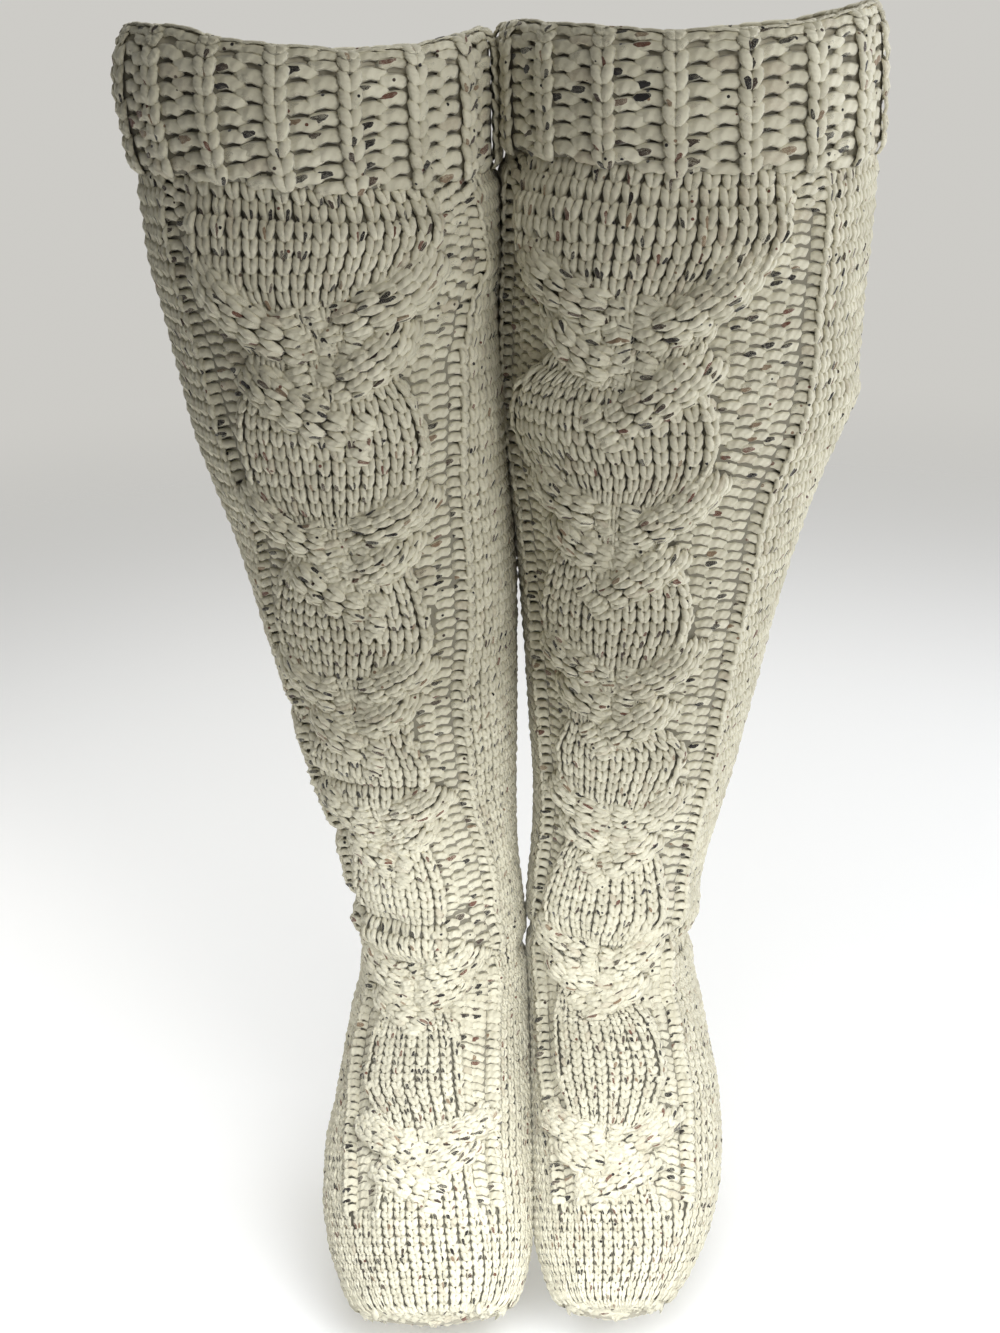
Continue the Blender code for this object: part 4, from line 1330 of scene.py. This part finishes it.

# %% [markdown]
# ## Joining the frame
# Every shell stands for its CAD node, which is hidden, and every piece hangs from the root.

# %% Joining the frame
for side in SIDES:
    for thing in [shells[side], *pieces[side], cuffs[side], *cuff_pieces[side]]:
        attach(thing, "root")
    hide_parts(side + "_stocking")
    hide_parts(side + "_cuff")
for thing in (knit_stitch, purl_stitch):
    bpy.data.objects.remove(thing)
end_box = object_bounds()
print("shown box in metres:", [[round(v, 3) for v in corner] for corner in end_box])

# %% [markdown]
# ## The studio
# A pale paper floor that melts into a pale background. A curved paper wall is the usual way, but it
# would hide the back view, so the floor's edge fades out instead. Broad lights stand at both sides
# and above, a small one over the feet brightens them as in the photograph, and two light the paper.

# %% Paper floor
def floor_material():
    """White paper that melts into the background colour far from the stockings."""
    material = bpy.data.materials.new("pale_paper")
    material.use_nodes = True
    tree = material.node_tree
    shader = tree.nodes["Principled BSDF"]
    shader.inputs["Base Color"].default_value = (0.90, 0.895, 0.875, 1.0)
    shader.inputs["Roughness"].default_value = 0.9
    shader.inputs["Specular IOR Level"].default_value = 0.1
    shader.inputs["Emission Color"].default_value = (1.0, 1.0, 1.0, 1.0)
    shader.inputs["Emission Strength"].default_value = 0.15
    where = tree.nodes.new("ShaderNodeTexCoord")
    distance = tree.nodes.new("ShaderNodeVectorMath")
    distance.operation = "LENGTH"
    link(tree, where, "Object", distance, 0)
    share = tree.nodes.new("ShaderNodeMapRange")
    share.interpolation_type = "SMOOTHSTEP"
    share.inputs["From Min"].default_value = 0.7
    share.inputs["From Max"].default_value = 1.9
    link(tree, distance, "Value", share, "Value")
    clear = tree.nodes.new("ShaderNodeBsdfTransparent")
    both = tree.nodes.new("ShaderNodeMixShader")
    link(tree, share, "Result", both, 0)
    link(tree, shader, "BSDF", both, 1)
    link(tree, clear, "BSDF", both, 2)
    link(tree, both, "Shader", tree.nodes["Material Output"], "Surface")
    return material


def make_floor(height=-0.665, radius=2.1, count=48):
    """A round sheet of paper a little below the toes."""
    turns = np.arange(count) * math.tau / count
    verts = [(radius * math.cos(a), radius * math.sin(a), 0.0) for a in turns]
    mesh = bpy.data.meshes.new("paper_floor")
    mesh.from_pydata(verts, [], [tuple(range(count))])
    mesh.materials.append(floor_material())
    thing = add_object("paper_floor", mesh)
    thing.location.z = height
    return thing


floor = make_floor()
print("floor at", round(floor.location.z, 3), "m")

# %% Lights
def area_light(name, spot, aim, size, power, colour):
    """A square light at a spot, turned to its aim."""
    data = bpy.data.lights.new(name, "AREA")
    data.shape = "SQUARE"
    data.size = size
    data.energy = power
    data.color = colour
    thing = add_object(name, data)
    thing.location = spot
    thing.rotation_euler = (Vector(aim) - Vector(spot)).to_track_quat("-Z", "Y").to_euler()
    thing.visible_camera = False
    return thing


LIGHTS = (
    # name, place, aim, size in metres, watts, colour
    ("top", (0.8, -1.2, 0.9), (0.0, 0.0, -0.3), 0.9, 10.4, (1.0, 1.0, 0.98)),
    ("right_side", (1.3, 0.2, 0.1), (0.1, 0.0, -0.3), 0.9, 9.2, (0.96, 1.0, 1.10)),
    ("left_side", (-1.2, 0.4, 0.3), (0.0, 0.0, -0.35), 0.9, 0.4, (1.0, 0.98, 0.92)),
    ("low_right", (0.75, -0.6, -0.45), (0.1, -0.1, -0.6), 0.4, 2.0, (0.97, 1.0, 1.08)),
    ("feet", (0.0, -0.32, -0.42), (0.0, -0.24, -0.66), 0.25, 1.12, (0.96, 1.0, 1.08)),
    ("paper", (0.0, 0.7, 0.3), (0.0, 0.35, -0.7), 1.0, 5.0, (1.0, 1.0, 0.98)),
    ("paper_left", (-0.75, 0.1, -0.2), (-0.75, 0.1, -0.7), 0.7, 2.4, (1.0, 1.0, 1.0)),
)
for row in LIGHTS:
    area_light(*row)
print("lights:", [row[0] for row in LIGHTS])

# %% Sky
world = bpy.data.worlds.new("white_sky")
world.use_nodes = True
tree = world.node_tree
sky = tree.nodes["Background"]
sky.inputs["Color"].default_value = (0.98, 0.99, 1.0, 1.0)
sky.inputs["Strength"].default_value = 0.12
# The camera sees a shade of its own behind the floor, which lights nothing.
seen = tree.nodes.new("ShaderNodeBackground")
seen.inputs["Color"].default_value = (0.610, 0.600, 0.570, 1.0)
path_kind = tree.nodes.new("ShaderNodeLightPath")
chooser = tree.nodes.new("ShaderNodeMixShader")
link(tree, path_kind, "Is Camera Ray", chooser, 0)
link(tree, sky, "Background", chooser, 1)
link(tree, seen, "Background", chooser, 2)
link(tree, chooser, "Shader", tree.nodes["World Output"], "Surface")
bpy.context.scene.world = world
bpy.context.scene.view_settings.view_transform = "Standard"
print("sky strength", sky.inputs["Strength"].default_value)
